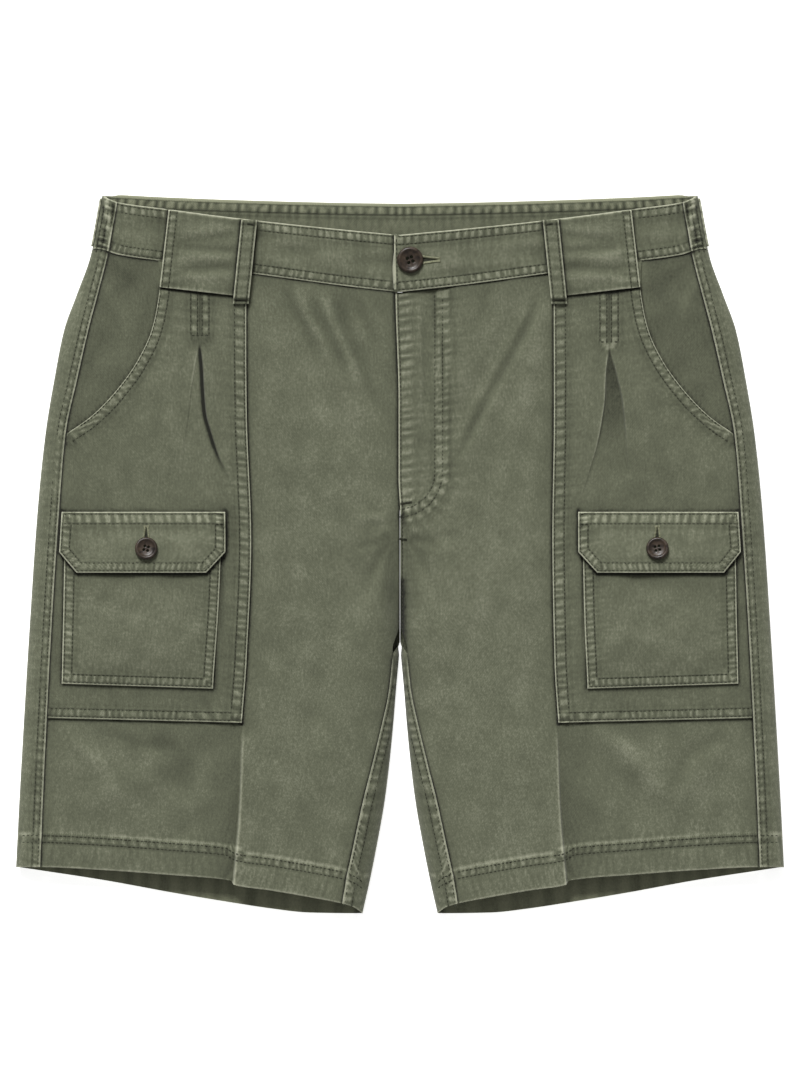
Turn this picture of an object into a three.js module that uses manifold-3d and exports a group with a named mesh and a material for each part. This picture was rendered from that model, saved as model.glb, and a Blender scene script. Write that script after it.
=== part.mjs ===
// Cargo shorts in washed cotton twill, laid flat on their back with the front up.
// Millimetres. +X runs across the garment, +Y up towards the waist, +Z off the surface that it lies on.
// The origin is under the middle of the garment's box, on that surface. "Left" is the -X half.
// Every point of the cloth is found from x, the distance across from the centre line, and drop,
// the distance down from the top of the back waistband.
import * as THREE from "three";
import { mergeVertices } from "three/addons/utils/BufferGeometryUtils.js";
import Module from "manifold-3d";

const wasm = await Module();
wasm.setup();

// Driving sizes
const LENGTH = 517; // top of the back waistband to the lowest corner of the hem
const PLY = 1.2; // one layer of twill
const DOUBLE = 1.8; // two pressed layers, as in a flap, tab or belt loop
const BAND = 2.4; // the waistband: two layers and their turnings
const GAP = 0.3; // clearance at seams and between pieces that lie on each other
const BAND_HEIGHT = 38.5;
const BAND_RISE = 0.6; // how far the waistband stands over the panel below it
const HEM_EXTRA = 1; // the turned-up hem's second layer, on the inside
const CROTCH_DROP = 331;
const LAP_END = { from: 233, to: 257 }; // where the right front comes down level with the left
const LAP_FADE = { from: 8, to: 26 }; // how far out from the centre line it comes down too
const CROTCH_CURVE = { from: 308, to: 327 }; // where a front's inner edge leaves the centre for the leg
const BAND_LAP = { right: -4.2, left: -19, from: 22, to: 42 }; // the same for the front waistbands

// The heights of the laid garment
const SIDE_FOLD_MID = 5.5; // height of the outermost line of the side fold
const INNER_FOLD_MID = 3.4; // the same for the fold along the inner leg
const SIDE_ROUNDING = 34; // how far in from the side fold the top is still rounding over
const UNDER_ROUNDING = 9; // how far in from the fold the underside reaches the surface
const INNER_UNDER_ROUNDING = 4.5;
const WAIST_LIFT = 1.5; // the back waistband is held off the surface by its belt loops

// The side edge of each half: the fold, and the side seam that lies on top of it.
const SIDE = [
  { drop: 0, fold: 214, seam: 202 },
  { drop: 44, fold: 222.5, seam: 210 },
  { drop: 72, fold: 232.5, seam: 217 },
  { drop: 97, fold: 241.5, seam: 223.5 },
  { drop: 132, fold: 248.5, seam: 231.5 },
  { drop: 172, fold: 255, seam: 240 },
  { drop: 225, fold: 260.5, seam: 244.5 },
  { drop: 320, fold: 267, seam: 250.5 },
  { drop: 378, fold: 270.5, seam: 253.5 },
  { drop: 436, fold: 273.8, seam: 256.3 },
  { drop: 484, fold: 276.2, seam: 258.2 },
];

// The inner edge of each leg, from the crotch to the hem.
const INNER = [
  { drop: 331, fold: 0.6, seam: 5 },
  { drop: 358, fold: 3, seam: 8 },
  { drop: 378, fold: 4.6, seam: 12.2 },
  { drop: 407, fold: 7.4, seam: 19.2 },
  { drop: 436, fold: 11, seam: 26.6 },
  { drop: 471, fold: 17.2, seam: 34.2 },
  { drop: 493, fold: 21.6, seam: 38.9 },
  { drop: 517, fold: 27, seam: 42.6 },
];

// The top edge: the drop of the front edge, of the back edge, and of the front waistband's lower edge.
const WAIST = [
  { x: 0, front: 29.5, back: 7.5, low: 70.6 },
  { x: 37, front: 26, back: 7, low: 66.4 },
  { x: 105, front: 18.8, back: 5.3, low: 57.3 },
  { x: 168, front: 10.8, back: 3, low: 48.6 },
  { x: 202, front: 6, back: 1.2, low: 43.6 },
  { x: 215, front: 0.5, back: 0.5, low: 39 },
];

// The bottom edge of a leg: the drop of the front hem and of the longer back hem.
// The front steps at its crease.
const HEM = [
  { x: 27, front: 516.5, back: 517 },
  { x: 35, front: 511.2, back: 517 },
  { x: 65, front: 504.7, back: 516.5 },
  { x: 94, front: 499.7, back: 513.4 },
  { x: 119, front: 495.8, back: 509.6 },
  { x: 121.5, front: 492.8, back: 509.2 },
  { x: 166, front: 488.7, back: 501.7 },
  { x: 214, front: 485.2, back: 493 },
  { x: 257, front: 483.2, back: 486.4 },
  { x: 276, front: 483.6, back: 483.6 },
];

// The pressed crease of the front leg. lift is how far the inner side stands over the outer side.
const CREASE = [
  { drop: 40, x: 108, lift: 0 },
  { drop: 372, x: 112.6, lift: 0 },
  { drop: 400, x: 113.8, lift: 2 },
  { drop: 436, x: 115, lift: 2.8 },
  { drop: 500, x: 120.2, lift: 3.4 },
];

// The height of the front's top surface between its folds, and how low it runs along the centre line.
const CROWN = [
  { drop: 0, top: 15, centre: 15 },
  { drop: 70, top: 16, centre: 16 },
  { drop: 232, top: 18.1, centre: 18.1 },
  { drop: 262, top: 18.4, centre: 13.6 },
  { drop: 300, top: 18.6, centre: 7 },
  { drop: 331, top: 18.4, centre: 3.4 },
  { drop: 420, top: 17.6, centre: 3.4 },
  { drop: 517, top: 15.5, centre: 3.4 },
];

// The front edges along the centre: lap is the right front's, on top, and under the left front's below it.
const FLY = [
  { drop: 20, lap: -3.4, under: 6 },
  { drop: 70, lap: -3.2, under: 6 },
  { drop: 150, lap: -1, under: 6 },
  { drop: 204, lap: -1, under: 5 },
  { drop: 230, lap: 0.2, under: -0.2 },
  { drop: 300, lap: 0.2, under: -0.2 },
];

// The large patch on each thigh: its straight inner edge, and its outer edge, which is the
// curved mouth of the hand pocket down to the side seam.
const PATCH_INNER = [
  { drop: 45, x: 110.2 },
  { drop: 159, x: 110.4 },
  { drop: 245, x: 109.3 },
  { drop: 335, x: 110.8 },
  { drop: 380, x: 113.6 },
];
const PATCH_MOUTH = [
  { drop: 45, x: 173.5 },
  { drop: 66.7, x: 172.6 },
  { drop: 82, x: 174.5 },
  { drop: 99, x: 178.6 },
  { drop: 120, x: 188.5 },
  { drop: 141.5, x: 204 },
  { drop: 160.8, x: 223 },
  { drop: 172, x: 239.2 },
];
const PATCH_LOW = { inner: 379.5, outer: 376 };

// The pleat that opens below the patch's top: its two folded edges leave each other at the stitched box.
const PLEAT = [
  { drop: 40, inner: 147.2, outer: 148.2, rise: 0 },
  { drop: 78, inner: 147.2, outer: 148.2, rise: 0 },
  { drop: 106, inner: 147.2, outer: 148.2, rise: 0.4 },
  { drop: 129, inner: 142.6, outer: 151.4, rise: 1.9 },
  { drop: 161, inner: 141.4, outer: 155.6, rise: 2.2 },
  { drop: 190, inner: 135.6, outer: 161, rise: 1.2 },
  { drop: 214, inner: 127.5, outer: 168, rise: 0 },
  { drop: 400, inner: 127.5, outer: 168, rise: 0 },
];
const PLEAT_SPREAD = 20; // how far from a folded edge the pleat's rise dies away

// The cargo pocket and its flap, as drops and distances from the centre line.
const POCKET = [
  { drop: 238, inner: 130.8, outer: 240.4 },
  { drop: 300, inner: 132, outer: 241.4 },
  { drop: 353, inner: 134.4, outer: 242.6 },
];
const FLAP = [
  { drop: 228.2, inner: 127.7, outer: 242.6 },
  { drop: 257, inner: 127.7, outer: 244.3 },
  { drop: 271.8, inner: 141.2, outer: 232 },
];
const FLAP_SEWN_DROP = 233; // the flap lies on the patch down to here, and then over the pocket
const FLAP_STAND = 0.5; // how far the flap's underside stands off what it lies on
const POCKET_PUFF = 2.4; // both pockets stand off a little, as pressed pockets do
const PATCH_PUFF = 2.6;
const MOUTH_STAND = 0.6; // the hand pocket's mouth stands this far off the front

// The wide belt tab and the narrow belt loop on its inner edge.
const TAB_TOP = { inner: 109.5, outer: 166 };
const TAB_LOW = { inner: 111, outer: 172.4, innerDrop: 74, outerDrop: 67 };
const LOOP = { width: 11.5, topX: 108.1, lowX: 114.2, lowDrop: 79 };
const BACK_LOOP_WIDTH = 12;
const BACK_LOOP_SHORTER = 3; // how much shorter the centre back loop is than the waistband is high

// Buttons
const WAIST_BUTTON = { radius: 9.4, x: 7.2, drop: 47.5 };
const FLAP_BUTTON = { radius: 8.1, x: 184.3, drop: 254.6 };
const BUTTON_THICKNESS = 3.2;
const BUTTON_HOLE = { radius: 0.95, spread: 1.75 };

// The largest drape folds, from one end to the other. side is -1 or 1 for one half, and 0 for both.
const FOLDS = [
  { x0: 98, drop0: 66, x1: 26, drop1: 190, width: 9, height: -1.7, side: 0 },
  { x0: 102, drop0: 70, x1: 80, drop1: 300, width: 20, height: 1.6, side: 0 },
  { x0: 44, drop0: 72, x1: 8, drop1: 150, width: 7, height: -1.1, side: -1 },
  { x0: 8, drop0: 250, x1: 42, drop1: 246, width: 4, height: -1, side: 1 },
  { x0: 18, drop0: 300, x1: 62, drop1: 430, width: 14, height: 1.4, side: 0 },
  { x0: 128, drop0: 392, x1: 196, drop1: 462, width: 13, height: -1.5, side: 0 },
  { x0: 236, drop0: 396, x1: 176, drop1: 470, width: 15, height: 1.1, side: 0 },
  { x0: 194, drop0: 84, x1: 214, drop1: 128, width: 14, height: -1, side: 0 },
];

// The gathers of the elastic on top of each end of the back waistband
const GATHER_HEIGHT = 0.45;
const GATHER_FROM = 0.3; // the turn past the side fold where they begin

// Materials
const twill = new THREE.MeshStandardMaterial({ color: 0x6b7058, roughness: 0.92, metalness: 0 });
const twillInside = new THREE.MeshStandardMaterial({ color: 0x666a54, roughness: 0.95, metalness: 0 });
const buttonResin = new THREE.MeshStandardMaterial({ color: 0x2e2a22, roughness: 0.42, metalness: 0 });

const mix = THREE.MathUtils.lerp;
const smooth = (from, to, value) => THREE.MathUtils.smoothstep(value, Math.min(from, to), Math.max(from, to));

// A column of a table at a value of its first column, on a curve that never swings past its rows.
function at(table, value, column, key = "drop") {
  const last = table.length - 1;
  if (value <= table[0][key]) return table[0][column];
  if (value >= table[last][key]) return table[last][column];
  const i = table.findIndex((row) => row[key] > value) - 1;
  const secant = (k) =>
    k < 0 || k >= last ? 0 : (table[k + 1][column] - table[k][column]) / (table[k + 1][key] - table[k][key]);
  const slope = (k) => {
    const [a, b] = [secant(k - 1), secant(k)];
    if (k === 0) return b;
    if (k === last) return a;
    return a * b <= 0 ? 0 : (2 * a * b) / (a + b);
  };
  const width = table[i + 1][key] - table[i][key];
  const t = (value - table[i][key]) / width;
  return (
    (1 + 2 * t) * (1 - t) ** 2 * table[i][column] +
    t * (1 - t) ** 2 * width * slope(i) +
    t ** 2 * (3 - 2 * t) * table[i + 1][column] +
    t ** 2 * (t - 1) * width * slope(i + 1)
  );
}

// A quarter of an ellipse: 0 at a fold, 1 once the cloth lies level.
const roundOver = (share) => (share >= 1 ? 1 : Math.sqrt(Math.max(0, share * (2 - share))));

const innerFold = (drop) => (drop < CROTCH_DROP ? 0 : at(INNER, drop, "fold"));
const innerRounding = (drop) => mix(10, 22, smooth(235, 380, drop));

// A drape fold's height at a point: a soft ridge or trough that dies away at both ends.
function foldHeight(fold, x, drop) {
  if (fold.side * x < 0) return 0;
  const [runX, runDrop] = [fold.x1 - fold.x0, fold.drop1 - fold.drop0];
  const length = Math.hypot(runX, runDrop);
  const [fromX, fromDrop] = [Math.abs(x) - fold.x0, drop - fold.drop0];
  const along = (fromX * runX + fromDrop * runDrop) / length ** 2;
  const off = (fromX * runDrop - fromDrop * runX) / length;
  const ends = smooth(-0.15, 0.2, along) * (1 - smooth(0.75, 1.15, along));
  return fold.height * ends * Math.exp(-((off / fold.width) ** 2));
}

// The crease: the cloth on its inner side rises to it, and the outer side starts lower.
function creaseHeight(x, drop) {
  const lift = at(CREASE, drop, "lift");
  const past = Math.abs(x) - at(CREASE, drop, "x");
  const inner = 0.65 * lift * Math.exp(Math.min(past, 0) / 40);
  const outer = -0.35 * lift * Math.exp(-Math.max(past, 0) / 26);
  return mix(inner, outer, smooth(-0.8, 0.8, past));
}

// The outer surface of the front's cloth.
function topSurface(x, drop) {
  const away = Math.abs(x);
  const crown = at(CROWN, drop, "top");
  const centre = at(CROWN, drop, "centre");
  const fromSide = roundOver((at(SIDE, drop, "fold") - away) / SIDE_ROUNDING);
  const inwards = (away - innerFold(drop)) / innerRounding(drop);
  const fromCentre = mix(smooth(0, 1, inwards), roundOver(inwards), smooth(270, CROTCH_DROP, drop));
  const level = SIDE_FOLD_MID + (crown - SIDE_FOLD_MID) * fromSide;
  const details = creaseHeight(x, drop) + FOLDS.reduce((sum, fold) => sum + foldHeight(fold, x, drop), 0);
  return mix(centre, level, fromCentre) + details * fromSide * mix(1, fromCentre, smooth(225, 300, drop));
}

// The outer surface of the back's cloth, which faces down: flat but for the waist and the folds.
function underSurface(x, drop) {
  const lift = WAIST_LIFT * (1 - smooth(50, 100, drop));
  const fromSide = roundOver((at(SIDE, drop, "fold") - Math.abs(x)) / UNDER_ROUNDING);
  return mix(SIDE_FOLD_MID, lift, fromSide);
}

// A point in the garment's frame
const place = (x, drop, z) => new THREE.Vector3(x, LENGTH / 2 - drop, z);

// A point of the front's surface, moved out along the surface's own direction by lift.
function skin(x, drop, lift = 0) {
  const step = 0.5;
  const slopeX = (topSurface(x + step, drop) - topSurface(x - step, drop)) / (2 * step);
  const slopeDrop = (topSurface(x, drop + step) - topSurface(x, drop - step)) / (2 * step);
  const normal = new THREE.Vector3(-slopeX, slopeDrop, 1).normalize();
  return place(x, drop, topSurface(x, drop)).addScaledVector(normal, lift);
}

// A closed wall from two grids of points, outer(i, j) and inner(i, j), joined round the rim.
function wall(name, columns, rows, outer, inner, material = twill) {
  const points = [outer, inner].flatMap((side) =>
    columns.flatMap((column) => rows.map((row) => side(column, row).toArray())),
  );
  const [across, down] = [columns.length, rows.length];
  const id = (layer, i, j) => (layer * across + i) * down + j;
  const faces = [];
  const quad = (a, b, c, d) => faces.push(a, b, c, a, c, d);
  for (let i = 0; i + 1 < across; i++) {
    for (let j = 0; j + 1 < down; j++) {
      quad(id(0, i, j), id(0, i, j + 1), id(0, i + 1, j + 1), id(0, i + 1, j));
      quad(id(1, i, j), id(1, i + 1, j), id(1, i + 1, j + 1), id(1, i, j + 1));
    }
    quad(id(0, i, 0), id(0, i + 1, 0), id(1, i + 1, 0), id(1, i, 0));
    quad(id(0, i, down - 1), id(1, i, down - 1), id(1, i + 1, down - 1), id(0, i + 1, down - 1));
  }
  for (let j = 0; j + 1 < down; j++) {
    quad(id(0, 0, j), id(1, 0, j), id(1, 0, j + 1), id(0, 0, j + 1));
    quad(id(0, across - 1, j), id(0, across - 1, j + 1), id(1, across - 1, j + 1), id(1, across - 1, j));
  }
  const geometry = new THREE.BufferGeometry();
  geometry.setAttribute("position", new THREE.Float32BufferAttribute(points.flat(), 3));
  geometry.setIndex(signedVolume(points, faces) < 0 ? faces.reverse() : faces);
  geometry.computeVertexNormals();
  const mesh = new THREE.Mesh(geometry, material);
  mesh.name = name;
  return mesh;
}

function signedVolume(points, faces) {
  const [a, b, c] = [new THREE.Vector3(), new THREE.Vector3(), new THREE.Vector3()];
  let sum = 0;
  for (let i = 0; i < faces.length; i += 3) {
    [a, b, c].forEach((corner, k) => corner.fromArray(points[faces[i + k]]));
    sum += a.dot(b.cross(c)) / 6;
  }
  return sum;
}

// A count of evenly spaced shares from 0 to 1
const spread = (count) => Array.from({ length: count + 1 }, (_, i) => i / count);

// Finds the point that lies a share of the way across and down a panel whose four edges curve.
function within(edges, across, down) {
  let x = edges.across(edges.top(0) + 100, across);
  let drop = 0;
  for (let round = 0; round < 8; round++) {
    drop = mix(edges.top(x), edges.bottom(x), down);
    x = edges.across(drop, across);
  }
  return [x, drop];
}

// Rows of the leg panels, from the waist to the hem: close together at the crotch and at the turned-up hem
const LEG_ROWS = [
  ...[0, 0.05, 0.11, 0.18, 0.24, 0.3, 0.36, 0.42, 0.5, 0.55, 0.575, 0.6],
  ...[0.64, 0.69, 0.75, 0.81, 0.88, 0.943, 0.953, 1],
];
const inHem = (down) => (down > 0.95 ? HEM_EXTRA : 0);

// A front: one panel from the centre to the side seam and from the waistband to the hem.
function front(side) {
  const centreEdge = (drop) => (side > 0 ? at(FLY, drop, "lap") : -at(FLY, drop, "under"));
  const legEdge = (drop) => at(INNER, drop, "seam") + GAP;
  const legward = (drop) => smooth(CROTCH_CURVE.from, CROTCH_CURVE.to, drop);
  const inner = (drop) => mix(centreEdge(drop), legEdge(drop), legward(drop));
  const outer = (drop) => at(SIDE, drop, "seam") - GAP / 2;
  const edges = {
    top: (x) => at(WAIST, Math.abs(x), "low", "x") + GAP,
    bottom: (x) => at(HEM, Math.abs(x), "front", "x"),
    // 0 to 1 runs from the inner edge to the crease, and 1 to 2 on to the side seam
    across: (drop, share) =>
      share < 1
        ? mix(inner(drop), at(CREASE, drop, "x"), share)
        : mix(at(CREASE, drop, "x"), outer(drop), share - 1),
  };
  // The right front laps over the left one down to the end of the fly
  const lap = (x, drop) => {
    if (side < 0) return 0;
    const nearCentre = 1 - smooth(LAP_FADE.from, LAP_FADE.to, x);
    return (PLY + GAP) * nearCentre * (1 - smooth(LAP_END.from, LAP_END.to, drop));
  };
  const columns = [
    ...[0, 0.05, 0.13, 0.24, 0.38, 0.54, 0.7, 0.86, 0.99],
    ...[1.008, 1.12, 1.28, 1.45, 1.62, 1.75, 1.84, 1.92, 2],
  ];
  const point = (thickness) => (across, down) => {
    const [x, drop] = within(edges, across, down);
    return skin(side * x, drop, lap(x, drop) - thickness(down));
  };
  return wall(
    side > 0 ? "front_right" : "front_left",
    columns,
    LEG_ROWS,
    point(() => 0),
    point((down) => PLY + inHem(down)),
  );
}

// A closed path round the side or inner fold. turn is 1 at the seam on top, 0 on the fold's
// outermost line, and -1 where the underside reaches the surface. Returns [x, z].
function roundSide(drop, turn) {
  const fold = at(SIDE, drop, "fold");
  const reach = turn > 0 ? fold - at(SIDE, drop, "seam") - GAP / 2 : UNDER_ROUNDING;
  const x = fold - reach * turn * turn;
  return [x, turn > 0 ? topSurface(x, drop) : underSurface(x, drop)];
}

function roundInner(drop, turn) {
  const fold = innerFold(Math.max(drop, CROTCH_DROP));
  const reach = turn > 0 ? at(INNER, drop, "seam") - GAP / 2 - fold : INNER_UNDER_ROUNDING;
  const x = fold + reach * turn * turn;
  if (turn > 0) return [x, topSurface(x, Math.max(drop, CROTCH_DROP))];
  return [x, INNER_FOLD_MID * (1 - roundOver(turn * turn))];
}

// A back: it wraps round the side fold to the side seam, lies flat, and below the crotch wraps
// round the inner fold to the inseam. Above the crotch it ends at the centre back seam.
function back(side) {
  const sideTurns = [1, 0.8, 0.6, 0.42, 0.24, 0.08, -0.1, -0.3, -0.55, -0.8, -1];
  const flats = [0.12, 0.26, 0.42, 0.58, 0.74, 0.88];
  const innerTurns = [-1, -0.75, -0.5, -0.25, 0, 0.25, 0.5, 0.75, 1];
  const columns = [
    ...sideTurns.map((turn) => ({ part: "side", turn })),
    ...flats.map((share) => ({ part: "flat", share })),
    ...innerTurns.map((turn) => ({ part: "inner", turn })),
  ];
  const rise = (drop) => smooth(CROTCH_DROP - 9, CROTCH_DROP, drop);
  const innerPoint = (drop, turn) => {
    const [x, z] = roundInner(drop, turn);
    const seam = mix(INNER_UNDER_ROUNDING, GAP / 2, (turn + 1) / 2);
    return [mix(seam, x, rise(drop)), mix(underSurface(seam, drop), z, rise(drop))];
  };
  const path = (column, drop) => {
    if (column.part === "side") return roundSide(drop, column.turn);
    if (column.part === "inner") return innerPoint(drop, column.turn);
    const x = mix(roundSide(drop, -1)[0], innerPoint(drop, -1)[0], column.share);
    return [x, underSurface(x, drop)];
  };
  const onTop = (column) => column.part !== "flat" && column.turn > 0;
  const dropOf = (column, down) => {
    let drop = mix(45, LENGTH, down);
    for (let round = 0; round < 8; round++) {
      const x = path(column, drop)[0];
      const top = onTop(column) ? at(WAIST, x, "low", "x") : at(WAIST, x, "back", "x") + BAND_HEIGHT;
      drop = mix(top + GAP, at(HEM, x, onTop(column) ? "front" : "back", "x"), down);
    }
    return drop;
  };
  const point = (column, down, thickness) => {
    const k = columns.indexOf(column);
    const drop = dropOf(column, down);
    const [x, z] = path(column, drop);
    const [beforeX, beforeZ] = path(columns[Math.max(k - 1, 0)], drop);
    const [afterX, afterZ] = path(columns[Math.min(k + 1, columns.length - 1)], drop);
    const inwards = new THREE.Vector2(-(afterZ - beforeZ), afterX - beforeX).normalize();
    return place(side * (x - inwards.x * thickness), drop, z - inwards.y * thickness);
  };
  return wall(
    side > 0 ? "back_right" : "back_left",
    columns,
    LEG_ROWS,
    (column, down) => point(column, down, 0),
    (column, down) => point(column, down, PLY + inHem(down)),
    twillInside,
  );
}

// Front waistband: each half runs from the centre to the side seam. The right one laps over the left.
function frontBand(side) {
  const inner = side > 0 ? BAND_LAP.right : BAND_LAP.left;
  const lap = (x) => (side > 0 ? (BAND + GAP) * (1 - smooth(BAND_LAP.from, BAND_LAP.to, x)) : 0);
  const edges = {
    top: (x) => at(WAIST, Math.abs(x), "front", "x"),
    bottom: (x) => at(WAIST, Math.abs(x), "low", "x"),
    across: (drop, share) => mix(inner, at(SIDE, drop, "seam") - GAP / 2, share),
  };
  const point = (thickness) => (across, down) => {
    const [x, drop] = within(edges, across, down);
    return skin(side * x, drop, BAND_RISE + lap(x) - thickness);
  };
  const columns = [0, 0.06, 0.12, 0.16, 0.2, 0.28, 0.4, 0.52, 0.64, 0.76, 0.88, 0.94, 1];
  const name = side > 0 ? "waistband_front_right" : "waistband_front_left";
  return wall(name, columns, spread(3), point(0), point(BAND));
}

// Where a side loop's columns are, round the fold of the back waistband under it
const LOOP_TURNS = [-1, -0.75, -0.5, -0.25, 0, 0.2];

// The back waistband's path round the body: along is the distance from the centre back, and past
// the fold it comes up on top to the side seam. Returns the point moved out by lift.
const bandFold = (drop) => at(SIDE, drop, "fold");
function bandPoint(side, turn, share, down, lift) {
  const path = (t, drop) => {
    if (share < 1) return [(bandFold(drop) - UNDER_ROUNDING) * share, WAIST_LIFT];
    const [x, z] = roundSide(drop, t);
    return [x, z];
  };
  let drop = 20;
  for (let round = 0; round < 8; round++) {
    const x = path(turn, drop)[0];
    const top = at(WAIST, x, turn > 0 ? "front" : "back", "x");
    const low = turn > 0 ? at(WAIST, x, "low", "x") : top + BAND_HEIGHT;
    drop = mix(top, low, down);
  }
  const [x, z] = path(turn, drop);
  if (share < 1) return place(side * x, drop, z - lift);
  const [ax, az] = path(turn - 0.02, drop);
  const [bx, bz] = path(turn + 0.02, drop);
  const outwards = new THREE.Vector2(bz - az, ax - bx).normalize();
  return place(side * (x + outwards.x * lift), drop, z + outwards.y * lift);
}

// Back waistband: one piece from side seam to side seam, gathered by its elastic at both ends.
function backBand() {
  const turns = [...LOOP_TURNS, 0.35, 0.47, 0.58, 0.69, 0.79, 0.89, 1];
  const half = [
    ...spread(14).slice(1, -1).map((share) => ({ share, turn: -1 })),
    ...turns.map((turn) => ({ share: 1, turn })),
  ];
  const columns = [
    ...half.map((c) => ({ ...c, side: -1 })).reverse(),
    { share: 0, turn: -1, side: 1 },
    ...half.map((c) => ({ ...c, side: 1 })),
  ];
  // The elastic draws the top of each end into gathers. The underside stays flat where it rests.
  const gather = (c) => {
    if (c.turn <= GATHER_FROM || c.turn === 1) return 0;
    return turns.indexOf(c.turn) % 2 ? GATHER_HEIGHT : -GATHER_HEIGHT;
  };
  const rise = (c) => BAND_RISE * Math.max(c.turn, 0);
  return wall(
    "waistband_back",
    columns,
    spread(3),
    (c, down) => bandPoint(c.side, c.turn, c.share, down, rise(c) + gather(c)),
    (c, down) => bandPoint(c.side, c.turn, c.share, down, rise(c) - BAND),
    twillInside,
  );
}

// The large patch's own rise over the front: the pleat's folded edges, a pocket's fullness, and its mouth.
function patchRise(x, drop) {
  const away = Math.abs(x);
  const [inner, outer, rise] = ["inner", "outer", "rise"].map((column) => at(PLEAT, drop, column));
  const past = away < (inner + outer) / 2 ? inner - away : away - outer;
  const pleat = past >= 0 ? rise * Math.exp(-past / PLEAT_SPREAD) : 0;
  const fullDown = smooth(200, 290, drop) * (1 - smooth(330, 372, drop));
  const fullAcross = smooth(114, 150, away) * (1 - smooth(206, 246, away));
  const mouthDown = smooth(84, 120, drop) * (1 - smooth(174, 205, drop));
  const mouthAcross = 1 - smooth(0, 26, patchOuter(drop) - away);
  return pleat + PATCH_PUFF * fullDown * fullAcross + MOUTH_STAND * mouthDown * mouthAcross;
}

const MOUTH_END = 172; // from here down the patch's outer edge runs along the side seam
function patchOuter(drop) {
  if (drop < MOUTH_END) return at(PATCH_MOUTH, drop, "x");
  return at(SIDE, drop, "seam") - GAP - 0.4 - 0.4 * (1 - smooth(MOUTH_END, MOUTH_END + 8, drop));
}

// The large patch, sewn on the front under the tab. Its curved upper edge is the hand pocket's mouth.
function patch(side) {
  const inner = (drop) => at(PATCH_INNER, drop, "x");
  const fold = (drop, column) => at(PLEAT, drop, column);
  // 0 inner edge, 1 and 2 the pleat's folded edges, 3 outer edge
  const stops = (drop) => [inner(drop), fold(drop, "inner"), fold(drop, "outer"), patchOuter(drop)];
  const edges = {
    top: (x) => at(WAIST, Math.abs(x), "low", "x") + GAP,
    bottom: (x) => mix(PATCH_LOW.inner, PATCH_LOW.outer, (Math.abs(x) - 113) / 140),
    across: (drop, share) => {
      const k = Math.min(Math.floor(share), 2);
      return mix(stops(drop)[k], stops(drop)[k + 1], share - k);
    },
  };
  const columns = [0, 0.3, 0.65, 0.985, 1.06, 1.5, 1.94, 2.015, 2.2, 2.4, 2.6, 2.8, 2.9, 3];
  const rows = [
    ...[0, 0.06, 0.12, 0.17, 0.22, 0.26, 0.29, 0.32, 0.345, 0.37, 0.393],
    ...[0.42, 0.5, 0.6, 0.72, 0.84, 0.93, 1],
  ];
  const point = (lift) => (across, down) => {
    const [x, drop] = within(edges, across, down);
    return skin(side * x, drop, lift + patchRise(x, drop));
  };
  return wall(side > 0 ? "patch_right" : "patch_left", columns, rows, point(GAP + PLY), point(GAP));
}

// What lies on the patch is its points, moved out: lift is measured from the patch's outer face.
const onPatch = (side, x, drop, lift) => skin(side * x, drop, GAP + PLY + patchRise(x, drop) + lift);

// How far the cargo pocket's cloth stands off the patch below it
function pocketPuff(x, drop) {
  const across = smooth(132, 158, x) * (1 - smooth(216, 241, x));
  return POCKET_PUFF * across * smooth(228, 262, drop) * (1 - smooth(318, 353, drop));
}

function pocket(side) {
  const edges = {
    top: () => POCKET[0].drop,
    bottom: (x) => mix(355, 351.4, (x - 134) / 108),
    across: (drop, share) => mix(at(POCKET, drop, "inner"), at(POCKET, drop, "outer"), share),
  };
  const point = (lift) => (across, down) => {
    const [x, drop] = within(edges, across, down);
    return onPatch(side, x, drop, lift + pocketPuff(x, drop));
  };
  const name = side > 0 ? "cargo_pocket_right" : "cargo_pocket_left";
  const columns = [0, 0.1, 0.24, 0.5, 0.76, 0.9, 1];
  const rows = [0, 0.083, 0.165, 0.3, 0.5, 0.7, 0.86, 1];
  return wall(name, columns, rows, point(GAP + PLY), point(GAP));
}

// The flap leaves the patch at its sewn top and lies over the pocket's mouth
const flapLift = (x, drop) =>
  FLAP_STAND + pocketPuff(x, drop) + (PLY + GAP) * smooth(FLAP_SEWN_DROP - 4, FLAP_SEWN_DROP + 4, drop) +
  0.7 * smooth(245, 270, drop);

function flap(side) {
  const straight = (table, drop, column) => {
    const i = drop < table[1].drop ? 0 : 1;
    const [above, below] = [table[i], table[i + 1]];
    return mix(above[column], below[column], (drop - above.drop) / (below.drop - above.drop));
  };
  const rows = [228.2, 229.5, 233, 237.2, 247.5, 257, 264.5, 271.8];
  const point = (lift) => (across, drop) => {
    const x = mix(straight(FLAP, drop, "inner"), straight(FLAP, drop, "outer"), across);
    return onPatch(side, x, drop, flapLift(x, drop) + lift);
  };
  const columns = [0, 0.12, 0.255, 0.5, 0.745, 0.88, 1];
  return wall(side > 0 ? "flap_right" : "flap_left", columns, rows, point(DOUBLE), point(0));
}

// The wide belt tab lies over the waistband and the patch's top
const TAB_LIFT = GAP + PLY + GAP;
function tab(side) {
  const point = (lift) => (across, down) => {
    const top = at(WAIST, mix(TAB_TOP.inner, TAB_TOP.outer, across), "front", "x") + 0.4;
    const drop = mix(top, mix(TAB_LOW.innerDrop, TAB_LOW.outerDrop, across), down);
    const x = mix(mix(TAB_TOP.inner, TAB_LOW.inner, down), mix(TAB_TOP.outer, TAB_LOW.outer, down), across);
    return skin(side * x, drop, TAB_LIFT + lift);
  };
  return wall(side > 0 ? "belt_tab_right" : "belt_tab_left", spread(5), spread(4), point(DOUBLE), point(0));
}

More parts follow.
